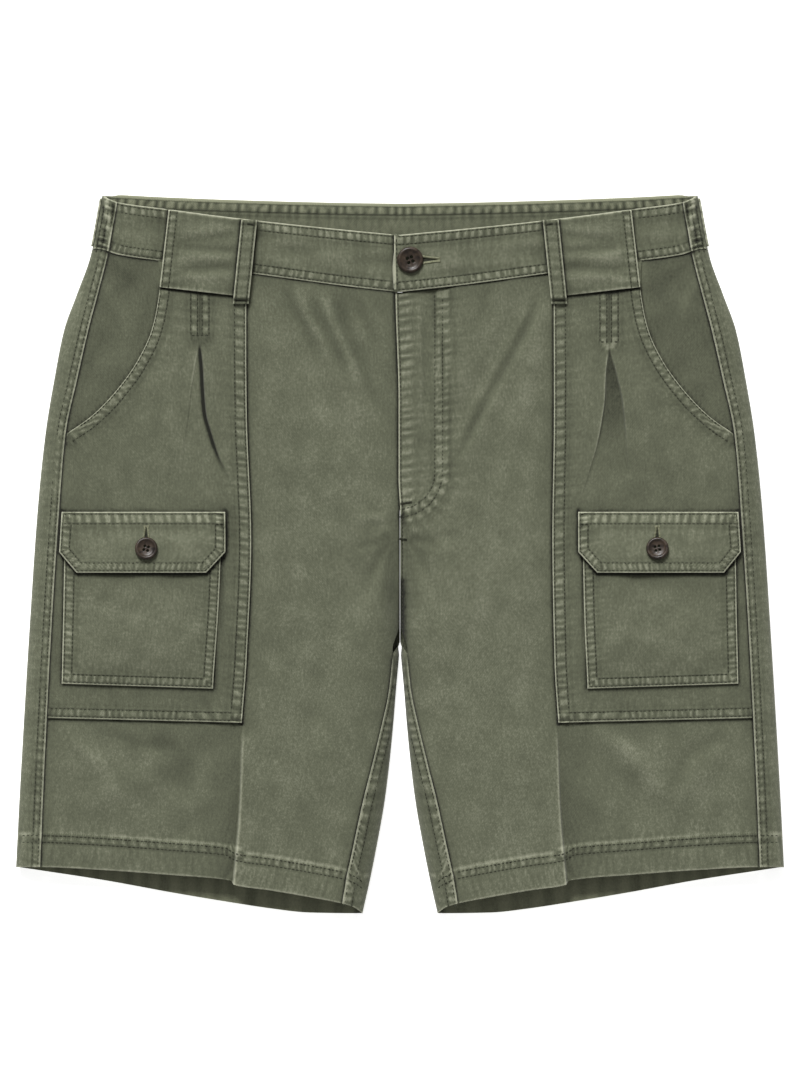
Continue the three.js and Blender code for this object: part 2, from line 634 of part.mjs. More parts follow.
// A narrow belt loop runs down over the tab's inner edge, and its end steps down onto the patch
function frontLoop(side) {
  const start = at(WAIST, LOOP.topX, "front", "x") + 0.4;
  const rows = [start, 35, 52, 67, 74.6, 76.6, LOOP.lowDrop];
  const overTab = TAB_LIFT + DOUBLE + GAP;
  const point = (lift) => (across, drop) => {
    const middle = mix(LOOP.topX, LOOP.lowX, (drop - start) / (LOOP.lowDrop - start));
    const base = mix(overTab, TAB_LIFT, smooth(74.6, 76.6, drop));
    return skin(side * (middle + across * (LOOP.width / 2)), drop, base + lift);
  };
  const name = side > 0 ? "belt_loop_front_right" : "belt_loop_front_left";
  return wall(name, [-1, 0, 1], rows, point(DOUBLE), point(0));
}

// A loop on the back waistband at each side fold: it wraps the fold and shows past the outline
function sideLoop(side) {
  const thickness = WAIST_LIFT - GAP;
  const shares = [0.04, 0.35, 0.65, 0.96];
  const name = side > 0 ? "belt_loop_side_right" : "belt_loop_side_left";
  return wall(
    name,
    LOOP_TURNS,
    shares,
    (turn, down) => bandPoint(side, turn, 1, down, GAP + thickness),
    (turn, down) => bandPoint(side, turn, 1, down, GAP),
  );
}

function backLoop() {
  const thickness = WAIST_LIFT - GAP;
  const half = BACK_LOOP_WIDTH / 2;
  const top = at(WAIST, 0, "back", "x") + BACK_LOOP_SHORTER / 2;
  const low = top + BAND_HEIGHT - BACK_LOOP_SHORTER;
  const point = (z) => (across, down) => place(across * half, mix(top, low, down), z);
  return wall("belt_loop_back_centre", [-1, 1], [0, 1], point(0), point(thickness), twill);
}

// A closed three.js geometry as a manifold-3d solid, and back
function solid(geometry) {
  const bare = geometry.clone();
  bare.deleteAttribute("normal");
  bare.deleteAttribute("uv");
  const merged = mergeVertices(bare, 1e-4);
  const mesh = new wasm.Mesh({
    numProp: 3,
    vertProperties: merged.attributes.position.array,
    triVerts: new Uint32Array(merged.index.array),
  });
  return new wasm.Manifold(mesh);
}

function geometryOf(manifold) {
  const mesh = manifold.getMesh();
  const geometry = new THREE.BufferGeometry();
  geometry.setAttribute("position", new THREE.BufferAttribute(new Float32Array(mesh.vertProperties), 3));
  geometry.setIndex(new THREE.BufferAttribute(new Uint32Array(mesh.triVerts), 1));
  geometry.computeVertexNormals();
  return geometry;
}

// A four-hole button: a turned disc with a raised rim and a shallow dish.
// It lies with its axis along the cloth's own direction.
function button(name, radius, seat) {
  const profile = [
    [0, 0],
    [radius * 0.8, 0],
    [radius, 1.1],
    [radius * 0.97, 2.4],
    [radius * 0.84, BUTTON_THICKNESS],
    [radius * 0.7, 2.2],
    [0, 2],
  ].map(([r, y]) => new THREE.Vector2(r, y));
  let disc = solid(new THREE.LatheGeometry(profile, 20));
  const drill = new THREE.CylinderGeometry(BUTTON_HOLE.radius, BUTTON_HOLE.radius, 8, 6);
  const off = (BUTTON_HOLE.spread * radius) / WAIST_BUTTON.radius;
  for (const [x, z] of [[1, 1], [1, -1], [-1, 1], [-1, -1]]) {
    disc = disc.subtract(solid(drill.clone().translate(x * off, 1, z * off)));
  }
  const mesh = new THREE.Mesh(geometryOf(disc), buttonResin);
  mesh.name = name;
  mesh.position.copy(seat.point);
  mesh.quaternion.setFromUnitVectors(new THREE.Vector3(0, 1, 0), seat.normal);
  return mesh;
}

// Where a button sits: a point of the cloth below it and the direction it faces
function seatOn(surface) {
  const [point, east, north] = [surface(0, 0), surface(3, 0), surface(0, -3)];
  const normal = east.sub(point).cross(north.sub(point)).normalize();
  return { point: point.clone(), normal: normal.z < 0 ? normal.negate() : normal };
}

const shorts = new THREE.Group();
shorts.name = "cargo_shorts";
for (const side of [-1, 1]) {
  for (const piece of [back, front, frontBand, patch, pocket, flap, tab, frontLoop, sideLoop]) {
    shorts.add(piece(side));
  }
  const flapSeat = seatOn((x, drop) => {
    const [away, down] = [FLAP_BUTTON.x + side * x, FLAP_BUTTON.drop + drop];
    return onPatch(side, away, down, flapLift(away, down) + DOUBLE + GAP);
  });
  shorts.add(button(side > 0 ? "button_flap_right" : "button_flap_left", FLAP_BUTTON.radius, flapSeat));
}
shorts.add(backBand(), backLoop());
const waistSeat = seatOn((x, drop) =>
  skin(WAIST_BUTTON.x + x, WAIST_BUTTON.drop + drop, BAND_RISE + BAND + GAP + GAP),
);
shorts.add(button("button_waist", WAIST_BUTTON.radius, waistSeat));

export default shorts;
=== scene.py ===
# %% [markdown]
# # Cargo shorts, laid flat
# The shorts lie on their back with the front up. Every panel is a thin sheet of washed cotton twill,
# so each one is built the way a cutter sees it: four curved edges, and a height for every point between
# them. The model of the solids is loaded first and stays as it is; each sheet takes the place of its
# solid, which is hidden.

# %% Load the frame
import math

import bmesh
import bpy
import numpy as np
from mathutils import Matrix, Vector


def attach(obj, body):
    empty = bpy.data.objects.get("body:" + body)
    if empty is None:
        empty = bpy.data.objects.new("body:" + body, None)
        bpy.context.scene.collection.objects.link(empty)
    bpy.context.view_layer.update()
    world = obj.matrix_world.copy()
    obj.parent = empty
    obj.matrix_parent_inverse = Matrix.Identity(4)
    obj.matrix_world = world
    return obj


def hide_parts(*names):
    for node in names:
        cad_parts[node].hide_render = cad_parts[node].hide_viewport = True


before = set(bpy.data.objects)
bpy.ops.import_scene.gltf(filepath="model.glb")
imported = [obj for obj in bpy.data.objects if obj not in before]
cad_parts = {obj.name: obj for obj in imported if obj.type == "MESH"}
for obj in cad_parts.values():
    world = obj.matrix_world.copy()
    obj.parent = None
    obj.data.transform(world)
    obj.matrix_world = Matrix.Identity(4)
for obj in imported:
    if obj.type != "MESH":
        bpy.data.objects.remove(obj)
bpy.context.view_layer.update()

# %% [markdown]
# ## Measuring in the tailor's way
# A point of the cloth is named by x, its distance across from the centre line, and by drop, its distance
# down from the top of the back waistband, both in millimetres. That is how one measures a garment with a
# tape, and it keeps left and right alike. The tables hold a row for each place where a line changes its
# bend, and a smooth curve that never swings past its rows joins them.

# %% Curves through short tables
LENGTH = 517
MM = 0.001


def curve(table, column, key="drop"):
    """A smooth line through a column of a table, as a function of its key column."""
    keys = np.array(table[key], float)
    values = np.array(table[column], float)
    secant = np.diff(values) / np.diff(keys)
    slope = np.concatenate([secant[:1], np.zeros(len(keys) - 2), secant[-1:]])
    both = secant[:-1] * secant[1:]
    total = secant[:-1] + secant[1:]
    bends = both > 0
    slope[1:-1][bends] = 2 * both[bends] / total[bends]

    def at(x):
        x = np.clip(x, keys[0], keys[-1])
        i = np.clip(np.searchsorted(keys, x, side="right") - 1, 0, len(keys) - 2)
        width = keys[i + 1] - keys[i]
        t = (x - keys[i]) / width
        start = (1 + 2 * t) * (1 - t) ** 2 * values[i] + t * (1 - t) ** 2 * width * slope[i]
        return start + t**2 * (3 - 2 * t) * values[i + 1] + t**2 * (t - 1) * width * slope[i + 1]

    return at


def smooth(low, high, value):
    t = np.clip((value - low) / (high - low), 0, 1)
    return t * t * (3 - 2 * t)


def mix(a, b, share):
    return a + (b - a) * share


def round_over(share):
    """A quarter of an ellipse: 0 at a fold, 1 once the cloth lies level."""
    t = np.clip(share, 0, 1)
    return np.sqrt(t * (2 - t))


def bump(off):
    return np.exp(-np.square(off))


print("a quarter of the way round a fold, the cloth has risen by", round(float(round_over(0.25)), 2))

# %% [markdown]
# ## The garment's measurements
# These are the lines that a pattern cutter would measure: the fold and the seam at each side, the inner
# leg, the curves of the waist and the hem, the pressed crease, the height of the crown and the edge of the
# fly. Every piece is worked out from them, so a change here moves each edge, seam and stitch that follows.

# %% The garment's own measurements, in millimetres
PLY = 1.2
GAP = 0.3
BAND_HEIGHT = 38.5
BAND_RISE = 0.6
WAIST_LIFT = 1.5
CROTCH_DROP = 331
SIDE_FOLD_MID = 5.5
INNER_FOLD_MID = 3.4
SIDE_ROUNDING = 34
UNDER_ROUNDING = 9
INNER_UNDER_ROUNDING = 4.5

SIDE = dict(
    drop=[0, 44, 72, 97, 132, 172, 225, 320, 378, 436, 484],
    fold=[214, 222.5, 232.5, 241.5, 248.5, 255, 260.5, 267, 270.5, 273.8, 276.2],
    seam=[202, 210, 217, 223.5, 231.5, 240, 244.5, 250.5, 253.5, 256.3, 258.2],
)
INNER = dict(
    drop=[331, 358, 378, 407, 436, 471, 493, 517],
    fold=[0.6, 3, 4.6, 7.4, 11, 17.2, 21.6, 27],
    seam=[5, 8, 12.2, 19.2, 26.6, 34.2, 38.9, 42.6],
)
WAIST = dict(
    x=[0, 37, 105, 168, 202, 215],
    front=[29.5, 26, 18.8, 10.8, 6, 0.5],
    back=[7.5, 7, 5.3, 3, 1.2, 0.5],
    low=[70.6, 66.4, 57.3, 48.6, 43.6, 39],
)
HEM = dict(
    x=[27, 35, 65, 94, 119, 121.5, 166, 214, 257, 276],
    front=[516.5, 511.2, 504.7, 499.7, 495.8, 492.8, 488.7, 485.2, 483.2, 483.6],
    back=[517, 517, 516.5, 513.4, 509.6, 509.2, 501.7, 493, 486.4, 483.6],
)
CREASE = dict(drop=[40, 372, 400, 436, 500], x=[108, 112.6, 113.8, 115, 120.2], lift=[0, 0, 2, 2.8, 3.4])
CROWN = dict(
    drop=[0, 70, 232, 262, 300, 331, 420, 517],
    top=[15, 16, 18.1, 18.4, 18.6, 18.4, 17.6, 15.5],
    centre=[15, 16, 18.1, 13.6, 7, 3.4, 3.4, 3.4],
)
FLY = dict(drop=[20, 70, 150, 204, 230, 300], lap=[-3.4, -3.2, -1, -1, 0.2, 0.2], under=[6, 6, 6, 5, -0.2, -0.2])

side_fold, side_seam = curve(SIDE, "fold"), curve(SIDE, "seam")
inner_fold, inner_seam = curve(INNER, "fold"), curve(INNER, "seam")
waist_front, waist_back, waist_low = (curve(WAIST, column, "x") for column in ("front", "back", "low"))
hem_front, hem_back = curve(HEM, "front", "x"), curve(HEM, "back", "x")
crease_x, crease_lift = curve(CREASE, "x"), curve(CREASE, "lift")
crown_top, crown_centre = curve(CROWN, "top"), curve(CROWN, "centre")
fly_lap, fly_under = curve(FLY, "lap"), curve(FLY, "under")
print("flat waist", 2 * float(side_seam(8)), "mm, hem across", float(side_fold(484) - inner_fold(517)), "mm")

# %% [markdown]
# ## The drape
# Laid cloth is never level. It rises from the folded edges to a low crown, sinks into a valley between
# the legs, and keeps the folds that it had when it was smoothed out by hand. Each fold is a soft ridge or
# trough between two points, with its own width and height, and dies away at both ends. They were placed
# one by one, and no two are alike. A cloth simulation would give folds too, but not these.

# %% Folds that were left in the cloth
FOLD_COLUMNS = ("half", "x0", "drop0", "x1", "drop1", "width", "height")
FOLDS = [
    (0, 98, 66, 26, 190, 9, -1.7),
    (0, 102, 70, 80, 300, 20, 1.6),
    (-1, 44, 72, 8, 150, 7, -1.1),
    (1, 8, 250, 42, 246, 4, -1.0),
    (0, 18, 300, 62, 430, 14, 1.4),
    (0, 128, 392, 196, 462, 13, -1.5),
    (0, 236, 396, 176, 470, 15, 1.1),
    (0, 194, 84, 214, 128, 14, -1.0),
]
FINE_FOLDS = [
    (-1, 84, 62, 57, 118, 5, -0.8),
    (-1, 66, 66, 36, 128, 6, 0.7),
    (-1, 46, 78, 17, 158, 5, -0.7),
    (-1, 58, 150, 30, 260, 12, 0.9),
    (-1, 90, 180, 72, 330, 9, -0.8),
    (-1, 36, 270, 60, 400, 10, -0.8),
    (-1, 98, 330, 70, 470, 12, 0.8),
    (1, 92, 70, 86, 150, 6, 0.9),
    (1, 94, 96, 46, 190, 8, 0.8),
    (1, 70, 78, 52, 120, 4, -0.5),
    (1, 60, 190, 74, 330, 13, -0.8),
    (1, 96, 220, 84, 340, 8, 0.7),
    (1, 30, 330, 50, 430, 9, -0.9),
    (1, 92, 360, 60, 470, 13, 0.8),
    (0, 6, 240, 30, 262, 3.5, 0.8),
    (0, 5, 252, 26, 290, 4, -0.7),
    (0, 12, 276, 34, 330, 5, 0.7),
    (1, 9, 120, 24, 128, 3, -0.5),
    (1, 8, 176, 26, 170, 3, 0.5),
    (-1, 150, 400, 236, 442, 9, 0.8),
    (-1, 222, 388, 148, 430, 8, -0.8),
    (-1, 128, 440, 170, 470, 7, -0.7),
    (1, 140, 388, 214, 430, 8, 0.8),
    (1, 240, 404, 190, 466, 9, -0.9),
    (1, 126, 420, 160, 474, 7, 0.7),
    (0, 188, 60, 206, 78, 6, -0.8),
    (0, 182, 74, 216, 150, 8, 0.6),
    (-1, 206, 96, 232, 150, 6, -0.6),
    (1, 212, 60, 226, 110, 5, -0.6),
    (-1, 118, 120, 128, 210, 6, 0.5),
    (1, 116, 130, 124, 214, 6, -0.5),
    (0, 172, 110, 200, 186, 7, -0.7),
    (0, 158, 180, 232, 204, 8, 0.6),
    (0, 176, 132, 168, 214, 9, 0.6),
    (-1, 246, 180, 254, 260, 5, -0.6),
    (1, 248, 200, 258, 300, 5, -0.6),
    (0, 250, 380, 266, 470, 5, -0.5),
]
print(len(FOLDS), "large folds and", len(FINE_FOLDS), "fine ones, given by", FOLD_COLUMNS)

# %% [markdown]
# ## One fold
# Across its line a fold is a bell curve, and along it the fold fades in and out. As it is a formula and
# not a sculpted surface, it can be asked for at any point, so a fold runs on across a seam into the next
# piece, and the stitches can lie on it.

# %% The height of one fold
def fold_height(fold, x, drop):
    half, x0, drop0, x1, drop1, width, height = fold
    run_x, run_drop = x1 - x0, drop1 - drop0
    length = math.hypot(run_x, run_drop)
    from_x, from_drop = np.abs(x) - x0, drop - drop0
    along = (from_x * run_x + from_drop * run_drop) / length**2
    off = (from_x * run_drop - from_drop * run_x) / length
    ends = smooth(-0.15, 0.2, along) * (1 - smooth(0.75, 1.15, along))
    return np.where(half * x < 0, 0, height * ends * bump(off / width))


def near(line, x, drop):
    """The distance from each point to a line, and how far along the line the nearest place is."""
    point = np.stack([np.ravel(x), np.ravel(drop)], 1).astype(float)
    best, along = np.full(len(point), 1e9), np.zeros(len(point))
    start = 0.0
    for a, b in zip(line[:-1], line[1:]):
        run = b - a
        length = float(np.hypot(*run))
        share = np.clip((point - a) @ run / length**2, 0, 1)
        away = np.hypot(*(point - a - share[:, None] * run).T)
        closer = away < best
        best[closer], along[closer] = away[closer], (start + share * length)[closer]
        start += length
    return best.reshape(np.shape(x)), along.reshape(np.shape(x))


print("the first fold is", round(float(fold_height(FOLDS[0], 62, 128)), 2), "mm at its middle")

# %% [markdown]
# ## Creases
# A crease is narrower than a fold and bends on its way, because it starts where the cloth is held, at a
# belt tab or the end of the fly, and swings down into the leg. Each one is a short line of points.

# %% Creases
# The half (-1, 1, or 0 for both), the line's points, its width and its height.
CREASES = [
    (1, [(101, 66), (93, 90), (78, 118), (60, 151), (44, 184), (33, 202)], 2.9, -2.5),
    (1, [(106, 72), (99, 96), (93, 130), (86, 180)], 7, 0.8),
    (1, [(14, 70), (13.4, 100), (14.6, 140), (12.5, 182)], 1.6, 0.9),
    (1, [(18.4, 74), (18, 120), (19, 150), (16, 186)], 1.9, -0.6),
    (1, [(66, 62), (60, 84), (50, 104)], 4, -0.7),
    (-1, [(84, 61), (78, 80), (66, 104), (55, 128)], 3.6, -1.4),
    (-1, [(66, 66), (58, 88), (46, 112), (34, 138)], 3.8, -1.6),
    (-1, [(47, 70), (40, 92), (28, 122), (14, 160)], 4.4, -1.7),
    (-1, [(32, 72), (23, 94), (12, 118)], 3.4, -1.1),
    (-1, [(57, 64), (50, 86), (38, 112), (24, 146)], 3.6, 1.1),
    (-1, [(76, 64), (68, 86), (56, 108)], 3.6, 0.9),
    (0, [(5, 244), (16, 250), (33, 255)], 2.4, -1.2),
    (0, [(5, 247), (14, 259), (24, 280)], 2.6, -1.3),
    (0, [(4, 252), (9, 270), (14, 300)], 2.4, -0.9),
    (-1, [(6, 234), (20, 232), (34, 236)], 2.6, 0.9),
    (0, [(208, 52), (196, 60), (186, 76)], 4, -0.8),
    (-1, [(214, 60), (200, 84), (190, 112)], 5, 1.1),
    (1, [(216, 58), (206, 76), (202, 100)], 4, 1.1),
    (-1, [(240, 388), (214, 410), (198, 440)], 5, 1.1),
    (-1, [(180, 384), (160, 404), (150, 440)], 7, -1.1),
    (-1, [(214, 384), (190, 396), (150, 398)], 4, -0.9),
    (1, [(236, 386), (206, 404), (190, 440)], 6, -1.2),
    (1, [(150, 384), (170, 410), (200, 440)], 6, 1.0),
]


def crease_height(crease, x, drop):
    half, points, width, height = crease
    line = np.array(points, float)
    away, along = near(line, np.abs(x), drop)
    share = along / np.hypot(*np.diff(line, axis=0).T).sum()
    ends = smooth(0, 0.2, share) * (1 - smooth(0.7, 1, share))
    return np.where(half * x < 0, 0, height * ends * bump(away / width))


print(len(CREASES), "creases")

# %% [markdown]
# ## The surface that every piece lies on
# The front's cloth has one height for each x and drop, and the back's cloth another. Panels, patches,
# pockets and tabs add their own thickness to it, so they stay on each other wherever the garment swells.
# A little unevenness in many directions keeps the plain stretches from looking ironed.

# %% The height of the front and of the back
def rumple(x, drop, pitch, seed):
    """An uneven surface of about this pitch, from -1 to 1: waves in many directions, added up."""
    rng = np.random.default_rng(seed)
    total = 0
    for _ in range(9):
        angle = rng.uniform(0, math.pi)
        length = pitch * rng.uniform(0.75, 1.6)
        turn = 2 * math.pi * (x * math.cos(angle) + drop * math.sin(angle)) / length
        total = total + np.sin(turn + rng.uniform(0, 6.28))
    return total / 4


def creases(x, drop):
    return sum(crease_height(crease, x, drop) for crease in CREASES)


def folds(x, drop):
    """How far the folds and creases lift the cloth, in millimetres."""
    rumples = 0.26 * rumple(x, drop, 34, 5) + 0.13 * rumple(x, drop, 15, 6)
    return rumples + creases(x, drop) + sum(fold_height(fold, x, drop) for fold in FOLDS + FINE_FOLDS)


# For each millimetre of height, a sharp ridge is made this much paler and a trough this much darker: partly
# wear that rubs ridges pale, partly painted light and shade that shows the crease under any light.
CREASE_WEAR_AND_PAINTED_SHADING = 0.13


def top(x, drop):
    """The height of the front's cloth."""
    away = np.abs(x)
    crown, centre = crown_top(drop), crown_centre(drop)
    from_side = round_over((side_fold(drop) - away) / SIDE_ROUNDING)
    inner = np.where(drop < CROTCH_DROP, 0, inner_fold(drop))
    inwards = (away - inner) / mix(10, 22, smooth(235, 380, drop))
    from_centre = mix(smooth(0, 1, inwards), round_over(inwards), smooth(270, CROTCH_DROP, drop))
    lift = crease_lift(drop)
    past = away - crease_x(drop)
    rise = 0.65 * lift * np.exp(np.minimum(past, 0) / 40)
    fall = -0.35 * lift * np.exp(-np.maximum(past, 0) / 26)
    details = mix(rise, fall, smooth(-0.8, 0.8, past)) + folds(x, drop)
    level = SIDE_FOLD_MID + (crown - SIDE_FOLD_MID) * from_side
    return mix(centre, level, from_centre) + details * from_side * mix(1, from_centre, smooth(225, 300, drop))


def under(x, drop):
    """The height of the back's cloth, which rests on the table."""
    lift = WAIST_LIFT * (1 - smooth(50, 100, drop))
    return mix(SIDE_FOLD_MID, lift, round_over((side_fold(drop) - np.abs(x)) / UNDER_ROUNDING))


print("crown at the thigh", round(float(top(np.array(60.0), np.array(200.0))), 1), "mm over the table")

# %% [markdown]
# ## Seams
# A seam is what makes cotton look sewn. The turned edge is a thick, round fold that washing has rubbed
# pale. Two rows of stitches sink into the cloth and hold it, the double cloth between them stands up,
# and because thread shrinks more than cloth, that channel ropes: it breaks into small slanted puffs. So
# each seam is a line in x and drop, with the distances of its stitch rows, and every point near it gets a
# height and a tone from how far it lies from the line. The tone is kept on the mesh as an attribute of
# wear and painted shading, which the cloth's material reads: above 0 is rubbed pale, below 0 is dark,
# partly dye kept in a groove and partly painted shade in grooves and beside raised edges.

# %% What a seam does to the cloth near it
def ripple(along, away, pitch, seed):
    """Uneven waves along a seam, slanted as roping is, from -1 to 1."""
    rng = np.random.default_rng(seed)
    slant = along + 0.16 * away
    total = 0
    for _ in range(6):
        total = total + np.sin(2 * math.pi * slant / (pitch * rng.uniform(0.7, 1.45)) + rng.uniform(0, 6.28))
    return 1.15 * np.tanh(0.9 * total + 0.25) - 0.15


class Seam:
    """A sewn line. rows are the stitch rows' distances from it, and edge is 1 where it is a turned edge."""

    def __init__(
        self, line, rows, edge=1.0, swell=0.5, pucker=0.34, pitch=7.0, reach=7.0, seed=1, sewn=None, turned=0
    ):
        self.line = np.array(line, float)
        self.rows = rows
        self.sewn = rows if sewn is None else sewn
        self.edge = edge
        self.swell = swell
        self.pucker = pucker
        self.pitch = pitch
        self.reach = reach
        self.seed = seed
        self.turned = turned

    def relief(self, x, drop):
        away, along = near(self.line, x, drop)
        first, last = min(self.rows), max(self.rows)
        waves = ripple(along, away, self.pitch, self.seed)
        held = smooth(first - 0.6, first + 1.2, away) * (1 - smooth(last - 1.2, last + 0.6, away))
        beyond = smooth(last, last + 1.5, away) * np.exp(-np.maximum(away - last, 0) / self.reach)
        grooves = sum(bump((away - row) / 0.65) for row in self.sewn)
        doubled = 1 - smooth(last + 0.4, last + 2.6, away)
        rim = self.edge * (1 - round_over((away + 0.15) / 1.1))
        puffs = self.pucker * waves * (held + 0.4 * beyond)
        height = self.swell * doubled + puffs - 0.32 * grooves - 0.9 * rim
        tone = self.edge * bump(away / 0.95) * (0.85 + 0.15 * waves)
        within_turn = self.turned * smooth(0.5, 3, away) * (1 - smooth(first - 2, first, away))
        height = height + 0.15 * within_turn * waves
        # the stitch grooves are darker, partly dye kept in them and partly painted shade
        tone = tone + (0.04 + 0.25 * waves) * held + (0.1 * beyond + 0.06 * within_turn) * waves - 0.36 * grooves
        ridge = self.turned * 0.4 * bump((away - last - 1.6) / 0.8)
        # the dark line just past the last row is painted shade below the seam's raised band
        return height, tone + ridge - 0.12 * bump((away - last - 3) / 1.2)


print("a seam's rope turns about every", Seam([(0, 0), (0, 1)], (1, 2)).pitch, "mm")

# %% [markdown]
# ## Slits and shaded edges
# Two things darken cloth without sewing it, and both darkenings are painted shade. A buttonhole is a slit
# that its button pulls open, and the opening is painted dark. And where a piece lies on another, the lower
# one is pressed down along the upper one's edge, and is painted dark there as the upper one's shade.

# %% Slits and shaded edges
class Slit:
    """A buttonhole's cut, pulled open towards its button; its dark is painted shade in the opening."""

    def __init__(self, start, end, opening):
        self.line = np.array([start, end], float)
        self.opening = opening

    def relief(self, x, drop):
        away, along = near(self.line, x, drop)
        share = along / float(np.hypot(*(self.line[1] - self.line[0])))
        half = 0.5 + (self.opening - 0.9) * share
        inside = 1 - smooth(half - 0.2, half + 0.5, away)
        # painted shade: the opening is darkened, as the cloth under it is not cut through
        return -0.6 * inside, -0.85 * inside


class DipAndPaintedShade:
    """Cloth beside another piece's raised edge: it dips under it, and its colour is darkened there as painted shade.
    """

    def __init__(self, line, dark=0.8, width=1.2, wide=0.16, dip=0.5):
        self.line = np.array(line, float)
        self.dark = dark
        self.width = width
        self.wide = wide
        self.dip = dip

    def relief(self, x, drop):
        away, _ = near(self.line, x, drop)
        # painted shade: a narrow dark line beside the edge and a wide, soft darkening beyond it
        tone = -self.dark * bump(away / self.width) - self.wide * np.exp(-away / 6)
        return -self.dip * (1 - round_over((away + 0.1) / 1.6)), tone


def relief(seams, x, drop):
    height, tone = np.zeros(np.shape(x)), np.zeros(np.shape(x))
    for seam in seams:
        more, shade = seam.relief(x, drop)
        height, tone = height + more, tone + shade
    return height, tone


def polyline(points, step=5.0):
    """The same line with points every few millimetres, so that what reads it can stay simple."""
    points = [np.array(p, float) for p in points]
    out = [points[0]]
    for a, b in zip(points[:-1], points[1:]):
        count = max(1, round(float(np.hypot(*(b - a))) / step))
        out += [a + (b - a) * k / count for k in range(1, count + 1)]
    return np.array(out)


def offset(line, distance):
    """A line beside this one, to its left as it runs in x and drop, mitred at corners."""
    line = np.array(line, float)
    run = np.diff(line, axis=0)
    run /= np.hypot(*run.T)[:, None]
    normal = np.stack([run[:, 1], -run[:, 0]], 1)
    before, after = np.vstack([normal[:1], normal]), np.vstack([normal, normal[-1:]])
    bisector = before + after
    bisector /= np.sum(bisector * after, axis=1)[:, None]
    return line + bisector * distance


print("a line moved aside by 2 mm:", offset([(0, 0), (0, 10), (10, 10)], 2).tolist())

# %% [markdown]
# ## Sheets from grids
# A sheet starts as a flat grid, made by one operator, and each vertex is then carried to its place. The
# grid's lines crowd together near the edges, where the seams are, and are wide apart in the plain cloth.
# Solidify then gives the sheet its thickness and Bevel rounds the cut rim, so both stay editable.

# %% Cloth from four curved edges
NEAR_EDGE = [0, 0.35, 0.8, 1.4, 2.1, 3, 4, 5, 6, 7, 8.2, 9.6]


def shares(length, step, near_edge=NEAR_EDGE):
    """Places along a grid line from 0 to 1, dense near both ends."""
    inner = np.arange(near_edge[-1] + step, length - near_edge[-1], step)
    ends = np.array(near_edge)
    return np.unique(np.concatenate([ends, inner, length - ends])) / length


def within(across, top_edge, bottom_edge, columns, rows):
    """x and drop for each share across and down a panel whose four edges curve."""
    u, v = np.meshgrid(columns, rows, indexing="ij")
    x, drop = across(np.full(u.shape, 200.0), u), np.zeros(u.shape)
    for _ in range(12):
        drop = mix(top_edge(x), bottom_edge(x), v)
        x = across(drop, u)
    return x, drop


def place(x, drop, z):
    """A point of the scene. The -X half was laid less evenly: about its flap it lies a little further in."""
    away = np.abs(x)
    drift = 2.6 * bump((drop - 252) / 75) * smooth(40, 100, away) * (1 - smooth(195, 243, away)) * (x < 0)
    return np.stack([x + drift, LENGTH / 2 - drop, z], -1) * MM


def paths(points, axis):
    """How far along its grid line each point lies, in metres."""
    step = np.linalg.norm(np.diff(points, axis=axis), axis=-1)
    pad = [(0, 0), (0, 0)]
    pad[axis] = (1, 0)
    return np.cumsum(np.pad(step, pad), axis=axis)


print("a panel 100 mm wide gets", len(shares(100, 2.5)), "grid lines across")

# %% [markdown]
# ## One sheet
# The function below turns the grid's places into a mesh. Its faces must point away from the table side of
# the cloth, since Solidify adds the wall behind them. The sheet's own length and width, let out along its
# grid lines, are kept with it as the size that it was cut to.

# %% One sheet
RIM_WIDTH = 0.4
RIM_ANGLE = 55
cloth_pieces = {}


def cloth(name, points, tone, thickness, materials, rests_on=()):
    columns, rows = points.shape[:2]
    made = bmesh.new()
    bmesh.ops.create_grid(made, x_segments=columns - 1, y_segments=rows - 1, size=1)
    made.verts.index_update()
    flat = np.array([v.co[:2] for v in made.verts])
    i = np.rint((flat[:, 0] + 1) / 2 * (columns - 1)).astype(int)
    j = np.rint((1 - flat[:, 1]) / 2 * (rows - 1)).astype(int)
    for vertex, co in zip(made.verts, points[i, j]):
        vertex.co = co
    made.normal_update()
    first = next(f for f in made.faces if all(i[v.index] < 2 and j[v.index] < 2 for v in f.verts))
    if first.normal.z < 0:
        bmesh.ops.reverse_faces(made, faces=made.faces)
    for face in made.faces:
        face.smooth = True
    mesh = bpy.data.meshes.new(name)
    made.to_mesh(mesh)
    made.free()
    # the attribute holds wear and painted light and shade for the material
    mesh.attributes.new("wear_and_painted_shading", "FLOAT", "POINT").data.foreach_set("value", tone[i, j].astype(np.float32))
    across = paths(points, 0)
    grain = np.stack([across[i, j], points[i, j, 1]], 1)
    loops = np.zeros(len(mesh.loops), int)
    mesh.loops.foreach_get("vertex_index", loops)
    mesh.uv_layers.new(name="grain").data.foreach_set("uv", grain[loops].astype(np.float32).ravel())
    piece = bpy.data.objects.new(name, mesh)
    bpy.context.scene.collection.objects.link(piece)
    for material in materials:
        mesh.materials.append(material)
    wall = piece.modifiers.new("thickness", "SOLIDIFY")
    wall.thickness = thickness * MM
    wall.offset = -1
    wall.material_offset = len(materials) - 1
    rim = piece.modifiers.new("rounded rim", "BEVEL")
    rim.limit_method = "ANGLE"
    rim.angle_limit = math.radians(RIM_ANGLE)
    rim.width = min(RIM_WIDTH, thickness / 3) * MM
    rim.segments = 2
    width, length = float(across[-1].max()), float(paths(points, 1)[:, -1].max())
    d1, d2 = points[1:, 1:] - points[:-1, :-1], points[1:, :-1] - points[:-1, 1:]
    area = min(float(np.linalg.norm(np.cross(d1, d2), axis=-1).sum() / 2), width * length)
    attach(piece, "root")
    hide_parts(name)
    cloth_pieces[name] = dict(piece=piece, flat=(width, length), area=area, rests_on=list(rests_on))
    print(f"{name}: {width * 1000:.0f} by {length * 1000:.0f} mm, {len(mesh.polygons)} faces")
    return piece


def half_name(stem, side):
    return stem + ("_right" if side > 0 else "_left")


print("sheets are named like", half_name("front", 1))
